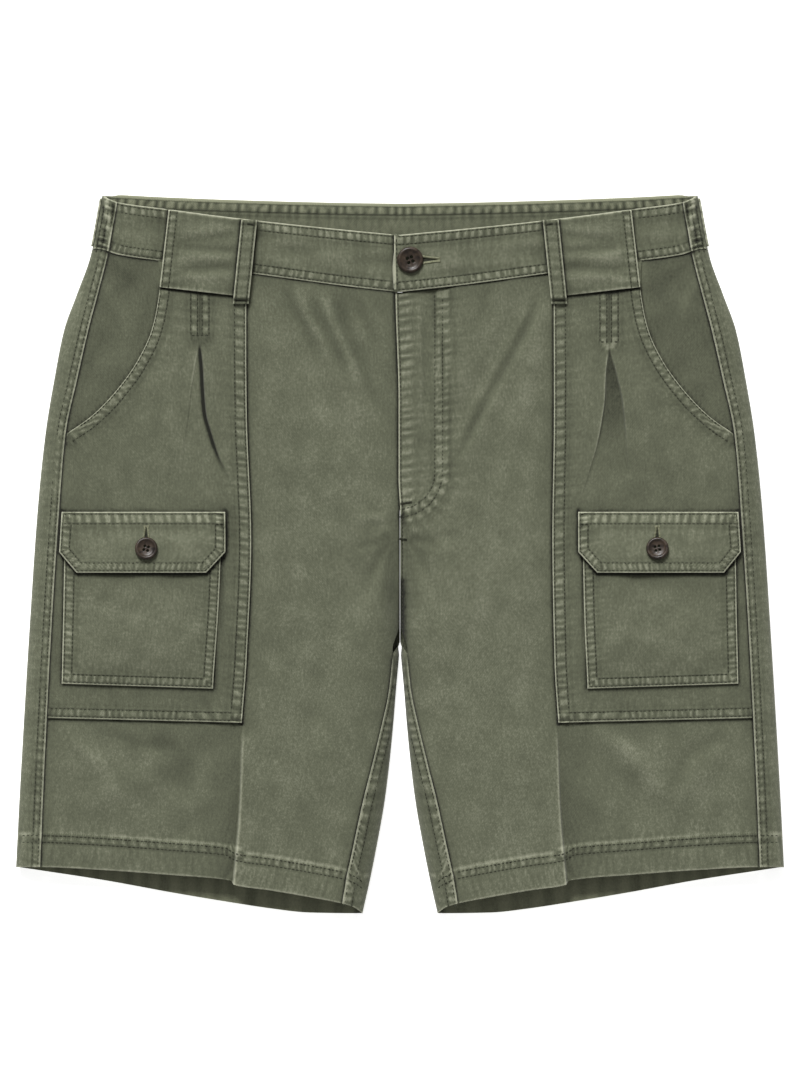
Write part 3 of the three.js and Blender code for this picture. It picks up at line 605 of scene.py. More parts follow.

# %% [markdown]
# ## Finishes
# The cloth is garment-washed cotton twill: yarn-dyed deep olive, then washed until the raised parts are
# pale. Up close it has fine diagonal lines, so the material draws those from the sheet's own map, with
# fainter uneven fading over them. Cotton scatters light at every fibre, so it is rough, with a little
# sheen where fibres stand up. The colour is decided by an attribute that holds both wear and painted
# light and shade: base, rubbed, or sunk, where sunk is partly dye kept in grooves and partly painted shade.

# %% Node helpers and colours
def linear(hex_colour):
    """An sRGB hex colour as the linear RGBA that shaders use."""
    parts = [int(hex_colour[k : k + 2], 16) / 255 for k in (1, 3, 5)]
    return (*[c / 12.92 if c <= 0.04045 else ((c + 0.055) / 1.055) ** 2.4 for c in parts], 1)


def node(tree, kind, settings=None, inputs=None, links=None):
    """Adds a node, sets its properties and input values, and links other nodes' outputs to its inputs."""
    made = tree.nodes.new(kind)
    for key, value in (settings or {}).items():
        setattr(made, key, value)
    for key, value in (inputs or {}).items():
        made.inputs[key].default_value = value
    for key, source in (links or {}).items():
        tree.links.new(source, made.inputs[key])
    return made


def new_material(name):
    material = bpy.data.materials.new(name)
    material.use_nodes = True
    tree = material.node_tree
    tree.nodes.clear()
    output = tree.nodes.new("ShaderNodeOutputMaterial")
    return material, tree, output


print("mid grey is", round(linear("#808080")[0], 3), "in linear light")

# %% [markdown]
# ## The cloth's material
# Four patterns are added to that attribute of wear and painted light and shade before a colour ramp reads
# it: slow fading, small specks, the uneven yarn and the twill's diagonal. Adding them first and colouring
# once keeps every tone on the one line from sunk to rubbed, which is how dyed cotton fades. The diagonal
# and the yarn also feed a small bump.

# %% Garment-washed twill
WALE_MM = 0.95  # real twill lines are about 0.6 mm apart; drawn a little coarser so that they show
WALE_LEAN = -58
WAVE_LENGTHS = 3.18  # how many bands the wave pattern draws in one unit at a scale of 1


def washed_twill(name, base, rubbed, sunk_and_painted_shade):
    """Cotton twill, garment-washed. It gives the eye a matt, faintly lined cloth that is pale on every edge, and dark
    where shade is painted into it.
    """
    material, tree, output = new_material(name)
    grain = node(tree, "ShaderNodeUVMap", {"uv_map": "grain"})
    turned = node(
        tree,
        "ShaderNodeMapping",
        inputs={"Rotation": (0, 0, math.radians(WALE_LEAN))},
        links={"Vector": grain.outputs["UV"]},
    )
    wales = node(
        tree,
        "ShaderNodeTexWave",
        {"wave_type": "BANDS", "bands_direction": "X", "wave_profile": "SIN"},
        {"Scale": 1 / (WALE_MM * MM) / WAVE_LENGTHS, "Distortion": 1.6, "Detail": 2, "Detail Scale": 3},
        {"Vector": turned.outputs["Vector"]},
    )
    slub = node(
        tree,
        "ShaderNodeMapping",
        inputs={"Scale": (900, 170, 1)},
        links={"Vector": grain.outputs["UV"]},
    )
    yarn = node(
        tree,
        "ShaderNodeTexNoise",
        inputs={"Scale": 1, "Detail": 3, "Roughness": 0.6},
        links={"Vector": slub.outputs["Vector"]},
    )
    place_of = node(tree, "ShaderNodeTexCoord")
    fade = node(
        tree,
        "ShaderNodeTexNoise",
        inputs={"Scale": 26, "Detail": 4, "Roughness": 0.55},
        links={"Vector": place_of.outputs["Object"]},
    )
    speck = node(
        tree,
        "ShaderNodeTexNoise",
        inputs={"Scale": 620, "Detail": 2, "Roughness": 0.7},
        links={"Vector": place_of.outputs["Object"]},
    )
    # the attribute holds wear and painted light and shade
    wear_and_painted_shading = node(tree, "ShaderNodeAttribute", {"attribute_name": "wear_and_painted_shading", "attribute_type": "GEOMETRY"})

    def scaled(source, low, high, to_low, to_high):
        return node(
            tree,
            "ShaderNodeMapRange",
            inputs={"From Min": low, "From Max": high, "To Min": to_low, "To Max": to_high},
            links={"Value": source},
        ).outputs["Result"]

    def added(a, b):
        return node(tree, "ShaderNodeMath", {"operation": "ADD"}, links={0: a, 1: b}).outputs["Value"]

    tone = added(wear_and_painted_shading.outputs["Fac"], scaled(fade.outputs["Fac"], 0.3, 0.7, -0.06, 0.06))
    tone = added(tone, scaled(speck.outputs["Fac"], 0.25, 0.75, -0.16, 0.16))
    tone = added(tone, scaled(yarn.outputs["Fac"], 0.3, 0.7, -0.1, 0.1))
    tone = added(tone, scaled(wales.outputs["Fac"], 0, 1, -0.09, 0.09))
    colour = node(tree, "ShaderNodeValToRGB", links={"Fac": scaled(tone, -1, 1, 0, 1)})
    ramp = colour.color_ramp
    # the sunk colour serves dye kept in grooves and painted shade alike
    ramp.elements[0].position, ramp.elements[0].color = 0.06, linear(sunk_and_painted_shade)
    ramp.elements[1].position, ramp.elements[1].color = 0.94, linear(rubbed)
    ramp.elements.new(0.5).color = linear(base)
    weave = added(scaled(wales.outputs["Fac"], 0, 1, 0, 0.6), scaled(yarn.outputs["Fac"], 0, 1, 0, 0.8))
    relief_node = node(
        tree,
        "ShaderNodeBump",
        inputs={"Strength": 0.45, "Distance": 0.0003},
        links={"Height": weave},
    )
    shader = node(
        tree,
        "ShaderNodeBsdfPrincipled",
        inputs={
            "Roughness": 0.93,
            "IOR": 1.45,
            "Specular IOR Level": 0.25,
            "Sheen Weight": 0.12,
            "Sheen Roughness": 0.5,
        },
        links={"Base Color": colour.outputs["Color"], "Normal": relief_node.outputs["Normal"]},
    )
    tree.links.new(shader.outputs["BSDF"], output.inputs["Surface"])
    return material


twill_outside = washed_twill("garment_washed_twill", base="#5C5F4D", rubbed="#A5A691", sunk_and_painted_shade="#1E1F18")
# the inside's darker colours are partly the cloth's reverse face and partly painted shade inside the openings
twill_inside_with_painted_shade = washed_twill("garment_washed_twill_inside", base="#565948", rubbed="#84866F", sunk_and_painted_shade="#1B1C16")
TWILL = [twill_outside, twill_inside_with_painted_shade]
print("twill wales drawn at", WALE_MM, "mm")

# %% [markdown]
# ## The fronts
# Each front runs from the fly to the side seam and from the waistband to the hem. Its lines: two rows
# above the hem, where the cloth is turned up; the J of the fly on the +X front, which laps over the
# other; and along the side seam and the inseam the edge dips, because there the front is sewn under the
# back. The two fronts share one function, and side says which half it makes.

# %% Lines that the fronts are sewn along
PATCH_INNER = dict(drop=[45, 159, 245, 335, 380], x=[110.2, 110.4, 109.3, 110.8, 113.6])
PATCH_MOUTH = dict(
    drop=[45, 66.7, 82, 99, 120, 141.5, 160.8, 172],
    x=[173.5, 172.6, 174.5, 178.6, 188.5, 204, 223, 239.2],
)
patch_inner, patch_mouth = curve(PATCH_INNER, "x"), curve(PATCH_MOUTH, "x")


def patch_low(x):
    return mix(379.5, 376, (np.abs(x) - 113) / 140)


def line_down(edge, start, stop, step=6.0):
    """The line that an edge, x as a function of drop, runs along."""
    drops = np.linspace(start, stop, max(2, round((stop - start) / step)) + 1)
    return np.stack([edge(drops), drops], 1)


def line_across(edge, start, stop, step=6.0):
    """The line that an edge, drop as a function of x, runs along."""
    xs = np.linspace(start, stop, max(2, round(abs(stop - start) / step)) + 1)
    return np.stack([xs, edge(xs)], 1)


def fly_j(inset):
    """The J that holds the fly's facing: down from the waistband, then round to the centre seam."""
    bend = [(math.cos(a), math.sin(a)) for a in np.linspace(0, math.pi / 2, 9)]
    radius = 32 - inset
    curve_part = [(-1.5 + radius * c, 200 + radius * s) for c, s in bend]
    return np.array([(30.5 - inset, 72), (30.5 - inset, 140), *curve_part])


FLY_ROWS = [0, 5.5]
HEM_ROWS = (17.9, 22.7)
FLY_END = 232
print("the fly is sewn down", round(FLY_END - float(waist_low(0))), "mm from the waistband")

# %% [markdown]
# ## What each front carries
# The list below is the front as its machinist sees it. The seam objects raise and rub the cloth along
# what is sewn on this piece, and the painted-shade lines dip it and darken it along what lies on top of it.

# %% The two fronts
def centre_seam(drop):
    return 0 * drop


def front_seams(side):
    hem = line_across(hem_front, 40, 257)
    seams = [
        Seam(hem, HEM_ROWS, edge=0.8, swell=0.55, pucker=0.4, pitch=5.2, seed=11, turned=1),
        # the lines below dip the cloth and paint shade on it beside the pieces that lie on this front
        DipAndPaintedShade(line_down(side_seam, 44, 484)),
        DipAndPaintedShade(line_down(inner_seam, 334, 514)),
        DipAndPaintedShade(line_across(waist_low, 0, 212), dark=0.7, wide=0.2),
        DipAndPaintedShade(line_down(patch_inner, 60, 379.5), dark=0.85, width=1.5),
        DipAndPaintedShade(line_across(patch_low, 113.6, 252), dark=0.7),
        DipAndPaintedShade(line_down(patch_mouth, 66, 172), dark=0.6),
    ]
    if side > 0:
        fly_edge = line_down(fly_lap, 70, 230)
        seams.append(Seam(fly_edge, (1.6, 10), edge=1, swell=0.3, pucker=0.34, pitch=5.2, seed=14, sewn=(1.6,)))
        seams.append(Seam(fly_j(0), FLY_ROWS, edge=0, swell=0.25, pucker=0.22, pitch=6, reach=9, seed=15))
        centre = line_down(centre_seam, FLY_END, CROTCH_DROP)
        seams.append(Seam(centre, (1.5,), edge=0.15, swell=0.1, pucker=0.3, seed=16))
        # painted shade in the hollow between the legs
        hollow = line_down(lambda drop: centre_seam(drop) + 1.5, 278, CROTCH_DROP)
        seams.append(DipAndPaintedShade(hollow, dark=0.75, width=2.8, wide=0.2))
    else:
        # painted shadow on the -X front under the +X front's lap
        lap = line_down(lambda drop: -fly_lap(drop), 66, FLY_END)
        seams.append(DipAndPaintedShade(lap, dark=0.9, width=1.5, wide=0.25))
        seams.append(DipAndPaintedShade(line_down(centre_seam, FLY_END, CROTCH_DROP), dark=0.8))
    return seams


def fly_rise(side, x, drop):
    """The +X front laps over the other down to the end of the fly."""
    if side < 0:
        return 0 * x
    return (PLY + GAP) * (1 - smooth(8, 26, x)) * (1 - smooth(233, 257, drop))


def front_height(side):
    seams = front_seams(side)

    def height(x, drop):
        more, tone = relief(seams, side * x, drop)
        past = np.abs(x) - crease_x(drop)
        pressed = crease_lift(drop) / 3
        tone = tone + pressed * 0.45 * bump((past + 0.7) / 1.0)
        # painted shade: the outer side of the pressed crease, under the step of its fold, is darkened
        tone = tone - pressed * smooth(0, 1.2, past) * 0.34 * np.exp(-np.maximum(past, 0) / 20)
        # painted shade on the hip behind the hand pocket's mouth; the creases are painted paler and darker, partly
        # wear and partly painted light and shade
        hip = smooth(0, 8, np.abs(x) - patch_mouth(np.minimum(drop, 172))) * (1 - smooth(160, 180, drop))
        tone = tone + CREASE_WEAR_AND_PAINTED_SHADING * creases(x, drop) - hip * (0.2 - 0.08 * smooth(90, 170, drop))
        rise = fly_rise(side, side * x, drop)
        return top(x, drop) + more + rise, tone + 0.05 * rumple(x, drop, 22, 31)

    return height


def make_front(side):
    name = half_name("front", side)
    height = front_height(side)

    def inner(drop):
        centre = fly_lap(drop) if side > 0 else -fly_under(drop)
        return mix(centre, inner_seam(drop) + GAP, smooth(308, CROTCH_DROP - 4, drop))

    def across(drop, share):
        crease = crease_x(drop)
        outer = side_seam(drop) - GAP / 2
        return np.where(share < 1, mix(inner(drop), crease, share), mix(crease, outer, share - 1))

    columns = np.concatenate([shares(112, 2.3), 1 + shares(138, 2.5)[1:]])
    rows = shares(445, 2.4)
    x, drop = within(across, lambda x: waist_low(np.abs(x)) + GAP, lambda x: hem_front(np.abs(x)), columns, rows)
    z, tone = height(side * x, drop)
    return cloth(name, place(side * x, drop, z), tone, 1.0, TWILL, rests_on=[half_name("back", side)])


for side in (-1, 1):
    make_front(side)

# %% [markdown]
# ## The backs
# A back is a ring in section: from the side seam, which lies on top of the garment, round the side fold,
# flat across the table and, below the crotch, up round the inner fold to the inseam. One parameter runs
# round that path. The seam rows are sewn on this piece, so the strip that shows on top carries them.

# %% The backs, wrapped round the folds
def round_side(drop, turn):
    """turn is 1 at the side seam on top, 0 on the outermost line of the fold and -1 under it."""
    fold = side_fold(drop)
    reach = np.where(turn > 0, fold - side_seam(drop) - GAP / 2, UNDER_ROUNDING)
    x = fold - reach * turn * turn
    return x, np.where(turn > 0, top(x, drop), under(x, drop))


def round_inner(drop, turn):
    """The same at the inner leg; above the crotch it ends flat at the centre back seam."""
    low = np.maximum(drop, CROTCH_DROP)
    fold = inner_fold(low)
    reach = np.where(turn > 0, inner_seam(low) - GAP / 2 - fold, INNER_UNDER_ROUNDING)
    x = fold + reach * turn * turn
    z = np.where(turn > 0, top(x, low), INNER_FOLD_MID * (1 - round_over(turn * turn)))
    seam = mix(INNER_UNDER_ROUNDING, GAP / 2, (turn + 1) / 2)
    rise = smooth(CROTCH_DROP - 9, CROTCH_DROP, drop)
    return mix(seam, x, rise), mix(under(seam, drop), z, rise)


def ring(drop, s):
    """The whole path: s from 0 to 1 round the side fold, to 2 across the table, to 3 round the inner fold."""
    side_x, side_z = round_side(drop, 1 - 2 * np.clip(s, 0, 1))
    inner_x, inner_z = round_inner(drop, -1 + 2 * np.clip(s - 2, 0, 1))
    start, stop = round_side(drop, -1 + 0 * s)[0], round_inner(drop, -1 + 0 * s)[0]
    flat_x = mix(start, stop, np.clip(s - 1, 0, 1))
    x = np.where(s < 1, side_x, np.where(s > 2, inner_x, flat_x))
    return x, np.where(s < 1, side_z, np.where(s > 2, inner_z, under(flat_x, drop)))


SIDE_ROWS = (1.8, 6.1)
INSEAM_ROWS = (1.8, 7.0)
print("the side seam lies", round(float(side_fold(200) - side_seam(200)), 1), "mm in from the fold at the hip")

# %% [markdown]
# ## What each back carries
# A flat-felled seam is sewn from the outside through both cloths, so its two rows are on the strip of the
# back that shows. The same function fades them out once the path has gone round the fold, and gives the
# turned hem to the part that shows through the leg's opening.

# %% The two backs
def strip_seams():
    outer_hem, inner_hem = line_across(hem_front, 257, 277), line_across(hem_front, 27, 44)
    return [
        Seam(line_down(side_seam, 44, 484), SIDE_ROWS, edge=0.75, swell=0.45, pucker=0.34, pitch=5, seed=21),
        Seam(line_down(inner_seam, 334, 514), INSEAM_ROWS, edge=0.75, swell=0.45, pucker=0.3, pitch=5.2, seed=22),
        Seam(outer_hem, HEM_ROWS, edge=0.8, swell=0.5, pucker=0.3, pitch=5, seed=23, turned=1),
        Seam(inner_hem, HEM_ROWS, edge=0.8, swell=0.5, pucker=0.3, pitch=5, seed=25, turned=1),
        # painted shade on the back strip beside the waistband's end
        DipAndPaintedShade(line_across(waist_low, 205, 226), dark=0.7),
    ]


def make_back(side):
    name = half_name("back", side)
    s = np.concatenate(
        [
            np.linspace(0, 0.5, 17),
            np.linspace(0.5, 1, 9)[1:],
            np.linspace(1, 2, 92)[1:],
            np.linspace(2, 2.5, 7)[1:],
            np.linspace(2.5, 3, 13)[1:],
        ]
    )
    s, v = np.meshgrid(s, shares(460, 2.8), indexing="ij")
    on_top = (s < 0.5) | (s > 2.5)
    drop = mix(45.0, LENGTH, v)
    for _ in range(12):
        x = ring(drop, s)[0]
        start = np.where(on_top, waist_low(x), waist_back(x) + BAND_HEIGHT) + GAP
        drop = mix(start, np.where(on_top, hem_front(x), hem_back(x)), v)
    x, z = ring(drop, s)
    more, tone = relief(strip_seams(), x, drop)
    fade = np.maximum(1 - smooth(0.3, 0.5, s), smooth(2.5, 2.65, s) * smooth(CROTCH_DROP - 4, 345, drop))
    z = z + more * fade
    inside = ((s > 1) & (s < 2)) * (0.25 + 0.25 * rumple(x, drop, 26, 41))
    hem_band, hem_tone = relief([Seam(line_across(hem_back, 30, 274), HEM_ROWS, edge=0, seed=24)], x, drop)
    z = z + inside + ((s >= 1) & (s <= 2)) * np.clip(hem_band, 0, 0.6) * smooth(0, 0.3, z + 0.3)
    fold_wear = 0.35 * bump((s - 0.5) / 0.07) + 0.3 * bump((s - 2.5) / 0.07) * smooth(330, 350, drop)
    tone = tone * fade + fold_wear + (1 - fade) * 0.6 * hem_tone + 0.05 * rumple(x, drop, 22, 32)
    # painted light: the back's inside near the hem, seen through the leg's opening, is made paler
    facing = (s > 1) & (s < 2) & (drop > 470)
    tone = tone + facing * (0.5 + 0.16 * ripple(x, 0 * x, 16, 42))
    return cloth(name, place(side * x, drop, z), tone, 1.0, TWILL, rests_on=["floor"])


for side in (-1, 1):
    make_back(side)

# %% [markdown]
# ## The waistband
# A waistband is a long strip folded over stiffening, sewn in two rows at each edge. The front half on +X
# laps over the other and carries the button. The back is one piece that comes round both side folds, and
# elastic inside draws it into short gathers there, crossed by the rows that hold the elastic.

# %% The waistband's three pieces
BAND_ROWS = (1.5, 7.0)
TAB_OUTER_TOP, TAB_OUTER_LOW = 166, 172.4
LOOP_TOP, LOOP_LOW = 108.1, 114.2
LOOP_WIDTH = 11.5
BAND_INNER = {1: -4.2, -1: -19}  # where each front half ends, past the centre line


def band_seams(side):
    edge_end = [(BAND_INNER[side], 31), (BAND_INNER[side] + 0.6, 68)]
    loop_edge = polyline([(LOOP_TOP - LOOP_WIDTH / 2, 16), (LOOP_LOW - LOOP_WIDTH / 2, 79)])
    seams = [
        Seam(line_across(waist_front, 0, 203), BAND_ROWS, edge=1, swell=0.4, pucker=0.3, pitch=5.2, seed=51 + side),
        Seam(line_across(waist_low, 0, 211), BAND_ROWS, edge=1, swell=0.4, pucker=0.4, pitch=5.2, seed=54 + side),
        # these lines darken the band with painted shade beside the pieces that lie on it
        DipAndPaintedShade(line_down(side_seam, 4, 44), dark=0.9),
        DipAndPaintedShade(polyline([(TAB_OUTER_TOP, 10), (TAB_OUTER_LOW, 67)]), dark=0.8),
        DipAndPaintedShade(loop_edge, dark=0.8),
    ]
    if side < 0:
        # painted shadow on the -X band under the +X band's lap
        seams.append(DipAndPaintedShade(polyline([(4.2, 26), (3.4, 72)]), dark=1, width=1.5, wide=0.25))
    if side > 0:
        seams.append(Seam(edge_end, (1.6,), edge=1, swell=0.2, pucker=0.15, seed=58))
        seams.append(Slit((27.4, 47.2), (14.4, 47.4), 2.4))
    return seams


def band_height(side):
    seams = band_seams(side)

    def height(x, drop):
        more, tone = relief(seams, side * x, drop)
        lap = 2.7 * (1 - smooth(22, 42, side * x)) if side > 0 else 0
        puff = rumple(x, 1.6 * drop, 24, 61)
        # the puffs are painted paler on top and darker between: painted light and shade
        return top(x, drop) + BAND_RISE + lap + more + 0.5 * puff, tone + 0.08 * puff

    return height


def make_front_band(side):
    name = half_name("waistband_front", side)
    x, drop = within(
        lambda drop, share: mix(BAND_INNER[side], side_seam(drop) - GAP / 2, share),
        lambda x: waist_front(np.abs(x)),
        lambda x: waist_low(np.abs(x)),
        shares(214, 1.5),
        shares(40, 1.6),
    )
    z, tone = band_height(side)(side * x, drop)
    under_it = ["waistband_back"] if side < 0 else ["waistband_back", "waistband_front_left"]
    return cloth(name, place(side * x, drop, z), tone, 2.0, TWILL, rests_on=under_it)


for side in (-1, 1):
    make_front_band(side)

# %% [markdown]
# ## The back of the waistband
# Its path runs from one side seam round the fold, across the table and round the other fold. What shows
# of it is the inside, over the front's edge, with its own two double rows, and the gathered ends.

# %% The back of the waistband
ELASTIC_ROWS = (1.8, 5.4, 9.0)
GATHER_ROWS = (8, 17, 26, 33)


def gathers(x, drop):
    """The elastic's gathers near each side fold, and the rows sewn across them."""
    away = side_fold(drop) - x
    drawn = 1 - smooth(16, 70, away)
    waves = ripple(x, 0.6 * drop, 8.5, 71)
    rows = sum(bump((drop - waist_front(x) - row) / 0.8) for row in GATHER_ROWS)
    # painted light and shade on the gathers; the sewn rows are darker, partly dye kept in them and partly painted
    # shade
    return drawn * (0.5 * waves - 0.25 * rows), drawn * (0.35 * waves - 0.45 * rows)


def make_back_band():
    turns = np.concatenate([np.linspace(-1, 0, 9), np.linspace(0, 1, 22)[1:]])
    half = [(share, -1.0) for share in np.linspace(0, 1, 74)[1:-1]] + [(1.0, turn) for turn in turns]
    column = [(-1, *c) for c in reversed(half)] + [(1, 0.0, -1.0)] + [(1, *c) for c in half]
    side, share, turn = (np.array(c)[:, None] + np.zeros(len(shares(38, 1.6))) for c in zip(*column))
    v = np.zeros(share.shape) + shares(38, 1.6)[None, :]
    drop = np.full(v.shape, 20.0)
    flat = share < 1
    for _ in range(12):
        wrapped = round_side(drop, turn)[0]
        x = np.where(flat, (side_fold(drop) - UNDER_ROUNDING) * share, wrapped)
        start = np.where(turn > 0, waist_front(x), waist_back(x))
        drop = mix(start, np.where(turn > 0, waist_low(x), start + BAND_HEIGHT), v)
    z = np.where(flat, WAIST_LIFT, round_side(drop, turn)[1] + BAND_RISE * np.maximum(turn, 0))
    below = drop - waist_back(x)
    inside, inside_tone = relief(
        [
            Seam(line_across(waist_back, 0, 214), BAND_ROWS, edge=0.9, swell=0.4, pucker=0.5, pitch=5.2, seed=72),
            Seam(line_across(lambda x: waist_back(x) + BAND_HEIGHT, 0, 222), BAND_ROWS, edge=0.9, seed=73),
        ],
        x,
        drop,
    )
    drawn, drawn_tone = gathers(x, drop)
    on_top, top_tone = relief(
        [
            Seam(line_across(waist_front, 195, 216), BAND_ROWS, edge=1, swell=0.3, pucker=0.3, seed=74),
            Seam(line_across(waist_low, 200, 224), BAND_ROWS, edge=0.9, swell=0.3, pucker=0.3, seed=75),
            Seam(line_down(side_seam, 4, 46), ELASTIC_ROWS, edge=1, swell=0.3, pucker=0.45, pitch=5, seed=76),
        ],
        x,
        drop,
    )
    up = smooth(0.15, 0.5, turn)
    z = z + mix(np.clip(inside, -0.4, 1.2) + 0.4, on_top + drawn, up) * np.where(turn > 0, up, flat)
    tone = np.where(turn > 0, (top_tone + drawn_tone) * up, 2 * inside_tone + 0.12 + 0.06 * rumple(x, below, 18, 34))
    loops = ["belt_loop_back_centre", "belt_loop_side_left", "belt_loop_side_right"]
    return cloth("waistband_back", place(side * x, drop, z), tone, 2.0, TWILL, rests_on=loops)


make_back_band()

# %% [markdown]
# ## The thigh patches and their pleats
# The large patch is sewn over the front. Its upper outer edge isn't sewn: that curve is the mouth of the
# hand pocket. At its top the patch is folded into a narrow box, held by four short rows, and where the
# rows end the fold is free: two edges leave each other and the cloth sinks between them. The edges are
# steps in the height, so the grid has lines along both of them.

# %% The patches
PLEATS = {
    -1: dict(
        drop=[40, 78, 101, 125, 139, 157, 173, 188, 216, 400],
        inner=[143.4, 143.4, 143.4, 141.3, 140.7, 139.5, 135.6, 131, 121, 121],
        outer=[144.2, 144.2, 144.2, 147.2, 149.6, 152, 154.5, 157, 160, 160],
        rise=[0, 0, 0.3, 1.9, 2.2, 2.2, 1.7, 1.1, 0, 0],
    ),
    1: dict(
        drop=[40, 78, 108, 129, 146, 164, 183, 206, 230, 400],
        inner=[149.8, 149.8, 149.8, 147.9, 147.2, 144.8, 140.9, 133.9, 128, 128],
        outer=[150.6, 150.6, 150.6, 155.2, 159, 161.2, 162.6, 164, 165, 165],
        rise=[0, 0, 0.3, 1.9, 2.3, 2.2, 1.5, 0.5, 0, 0],
    ),
}
PATCH_PUFF = 2.6
MOUTH_STAND = 0.6
pleat = {side: [curve(PLEATS[side], column) for column in ("inner", "outer", "rise")] for side in (-1, 1)}
BOX_ROWS = [-6.5, -1.6, 1.6, 6.5]  # the four rows that hold the pleat, from its middle line
BOX_X = {-1: 143.6, 1: 150.0}
BOX_LOW = {-1: 101.6, 1: 106.2}


def patch_outer(drop):
    seam_side = side_seam(drop) - GAP - 0.4 - 0.4 * (1 - smooth(172, 180, drop))
    return np.where(drop < 172, patch_mouth(drop), seam_side)


def pleat_at(x, drop):
    """The x of the pleat's two free edges and how far they stand up, at each point's own half."""
    return [np.where(x < 0, left(drop), right(drop)) for left, right in zip(pleat[-1], pleat[1])]


def patch_rise(x, drop):
    away = np.abs(x)
    inner, outer, rise = pleat_at(x, drop)
    inwards = away < (inner + outer) / 2
    past = np.where(inwards, inner - away, away - outer)
    share = np.where(inwards | (x > 0), 1, 0.3)  # on the -X half the outer edge hardly stands up
    folded = share * rise * np.exp(-np.maximum(past, 0) / 20) * smooth(-0.5, 0.5, past)
    fullness = smooth(200, 290, drop) * (1 - smooth(330, 372, drop)) * smooth(114, 150, away)
    fullness = fullness * (1 - smooth(206, 246, away))
    mouth = smooth(84, 120, drop) * (1 - smooth(174, 205, drop)) * (1 - smooth(0, 26, patch_outer(drop) - away))
    return folded + PATCH_PUFF * fullness + MOUTH_STAND * mouth


def patch_base(x, drop):
    return top(x, drop) + GAP + PLY + patch_rise(x, drop)


mouth_line = line_down(patch_mouth, 66, 172)
FLAP_CORNERS = [(127.7, 228.2), (127.7, 257), (141.2, 271.8), (232, 271.8), (244.3, 257), (242.6, 228.2)]
POCKET = dict(drop=[238, 300, 353], inner=[130.8, 132, 134.4], outer=[240.4, 241.4, 242.6])
pocket_inner, pocket_outer = curve(POCKET, "inner"), curve(POCKET, "outer")


def pocket_low(x):
    return mix(355, 351.4, (np.abs(x) - 134) / 108)


pocket_outline = np.vstack(
    [
        line_down(pocket_inner, 238, 354.9),
        line_across(pocket_low, 140, 236),
        line_down(pocket_outer, 238, 351.4)[::-1],
    ]
)
tab_low_line = polyline([(111, 74), (172.4, 67)])
PATCH_ROWS, PATCH_LOW_ROWS, MOUTH_ROWS = (1.4, 8.3), (1.5, 7.0), (0.9, 7.0)
print("the pleats open", max(PLEATS[1]["rise"]), "mm high")

# %% [markdown]
# ## The patch's own seams
# The patch is sewn down along its inner and lower edges in two rows, and its hand pocket's mouth is turned
# and sewn the same way. Beside the side seam, below the tab and round the flap and the cargo pocket it is
# darkened with painted shade.

# %% The two patches
def patch_seams(side):
    box = [(BOX_X[side], 70), (BOX_X[side], BOX_LOW[side])]
    return [
        Seam(line_down(patch_inner, 60, 379.5), PATCH_ROWS, edge=1, swell=0.45, pucker=0.3, pitch=5.2, seed=81),
        Seam(line_across(patch_low, 113.6, 252), PATCH_LOW_ROWS, edge=1, swell=0.45, pucker=0.4, pitch=5.2, seed=82),
        Seam(mouth_line, MOUTH_ROWS, edge=1, swell=0.5, pucker=0.34, pitch=5.2, seed=83),
        Seam(box, (1.6, 6.5), edge=0, swell=0.3, pucker=0.16, pitch=9, seed=85),
        # painted shade beside the pieces that lie on the patch, and painted shadow below the tab and the flap
        DipAndPaintedShade(line_down(side_seam, 174, 376)),
        DipAndPaintedShade(tab_low_line, dark=0.9, width=1.5, wide=0.25),
        DipAndPaintedShade(pocket_outline, dark=0.75, width=1.3),
        DipAndPaintedShade(polyline(FLAP_CORNERS), dark=0.75, width=1.4),
        DipAndPaintedShade(polyline([FLAP_CORNERS[0], FLAP_CORNERS[-1]]), dark=0.5),
    ]


def patch_height(side):
    seams = patch_seams(side)

    def height(x, drop):
        more, tone = relief(seams, np.abs(x), drop)
        away = np.abs(x)
        inner, outer, _ = pleat_at(x, drop)
        free = smooth(106, 116, drop) * (1 - smooth(168, 212, drop))
        between = smooth(-0.2, 0.8, away - inner) * smooth(-0.2, 0.8, outer - away)
        # painted shade inside the free pleat, between its two edges
        if side < 0:
            shade = between * 1.5 * bump((away - inner - 1.1) / 1.7)
            lines = 0.8 * bump((away - outer - 0.5) / 0.8) * (1 - smooth(132, 146, drop))
        else:
            shade = between * (0.16 + 0.42 * (1 - smooth(120, 185, drop)))
            lines = bump((away - inner + 0.5) / 0.8) + 0.2 * bump((away - outer - 0.5) / 0.8)
        box_end = 1 - smooth(BOX_LOW[side] - 2, BOX_LOW[side] + 2, drop)
        # painted shade in the crevice down the middle of the box pleat
        box_crevice_painted_shade = bump((away - BOX_X[side]) / 0.7) * smooth(68, 70, drop) * box_end
        tone = tone + free * (0.3 * lines - shade) - 0.5 * box_crevice_painted_shade
        # the creases are painted paler and darker, partly wear and partly painted light and shade
        tone = tone + 0.05 * rumple(x, drop, 20, 35) + CREASE_WEAR_AND_PAINTED_SHADING * creases(x, drop) - 0.05
        return patch_base(x, drop) + more, tone

    return height


def make_patch(side):
    name = half_name("patch", side)

    def across(drop, share):
        stops = [patch_inner(drop), pleat[side][0](drop), pleat[side][1](drop), patch_outer(drop)]
        low = [mix(stops[k], stops[k + 1], share - k) for k in range(3)]
        return np.where(share < 1, low[0], np.where(share < 2, low[1], low[2]))

    middle = 1 + shares(14, 1.2, [0, 0.5, 1.2, 2.2])[1:]
    columns = np.concatenate([shares(36, 1.8), middle, 2 + shares(90, 2.2)[1:]])
    rows = shares(320, 2.2)
    x, drop = within(across, lambda x: waist_low(np.abs(x)) + GAP, patch_low, columns, rows)
    z, tone = patch_height(side)(side * x, drop)
    return cloth(name, place(side * x, drop, z), tone, 1.1, TWILL, rests_on=[half_name("front", side)])


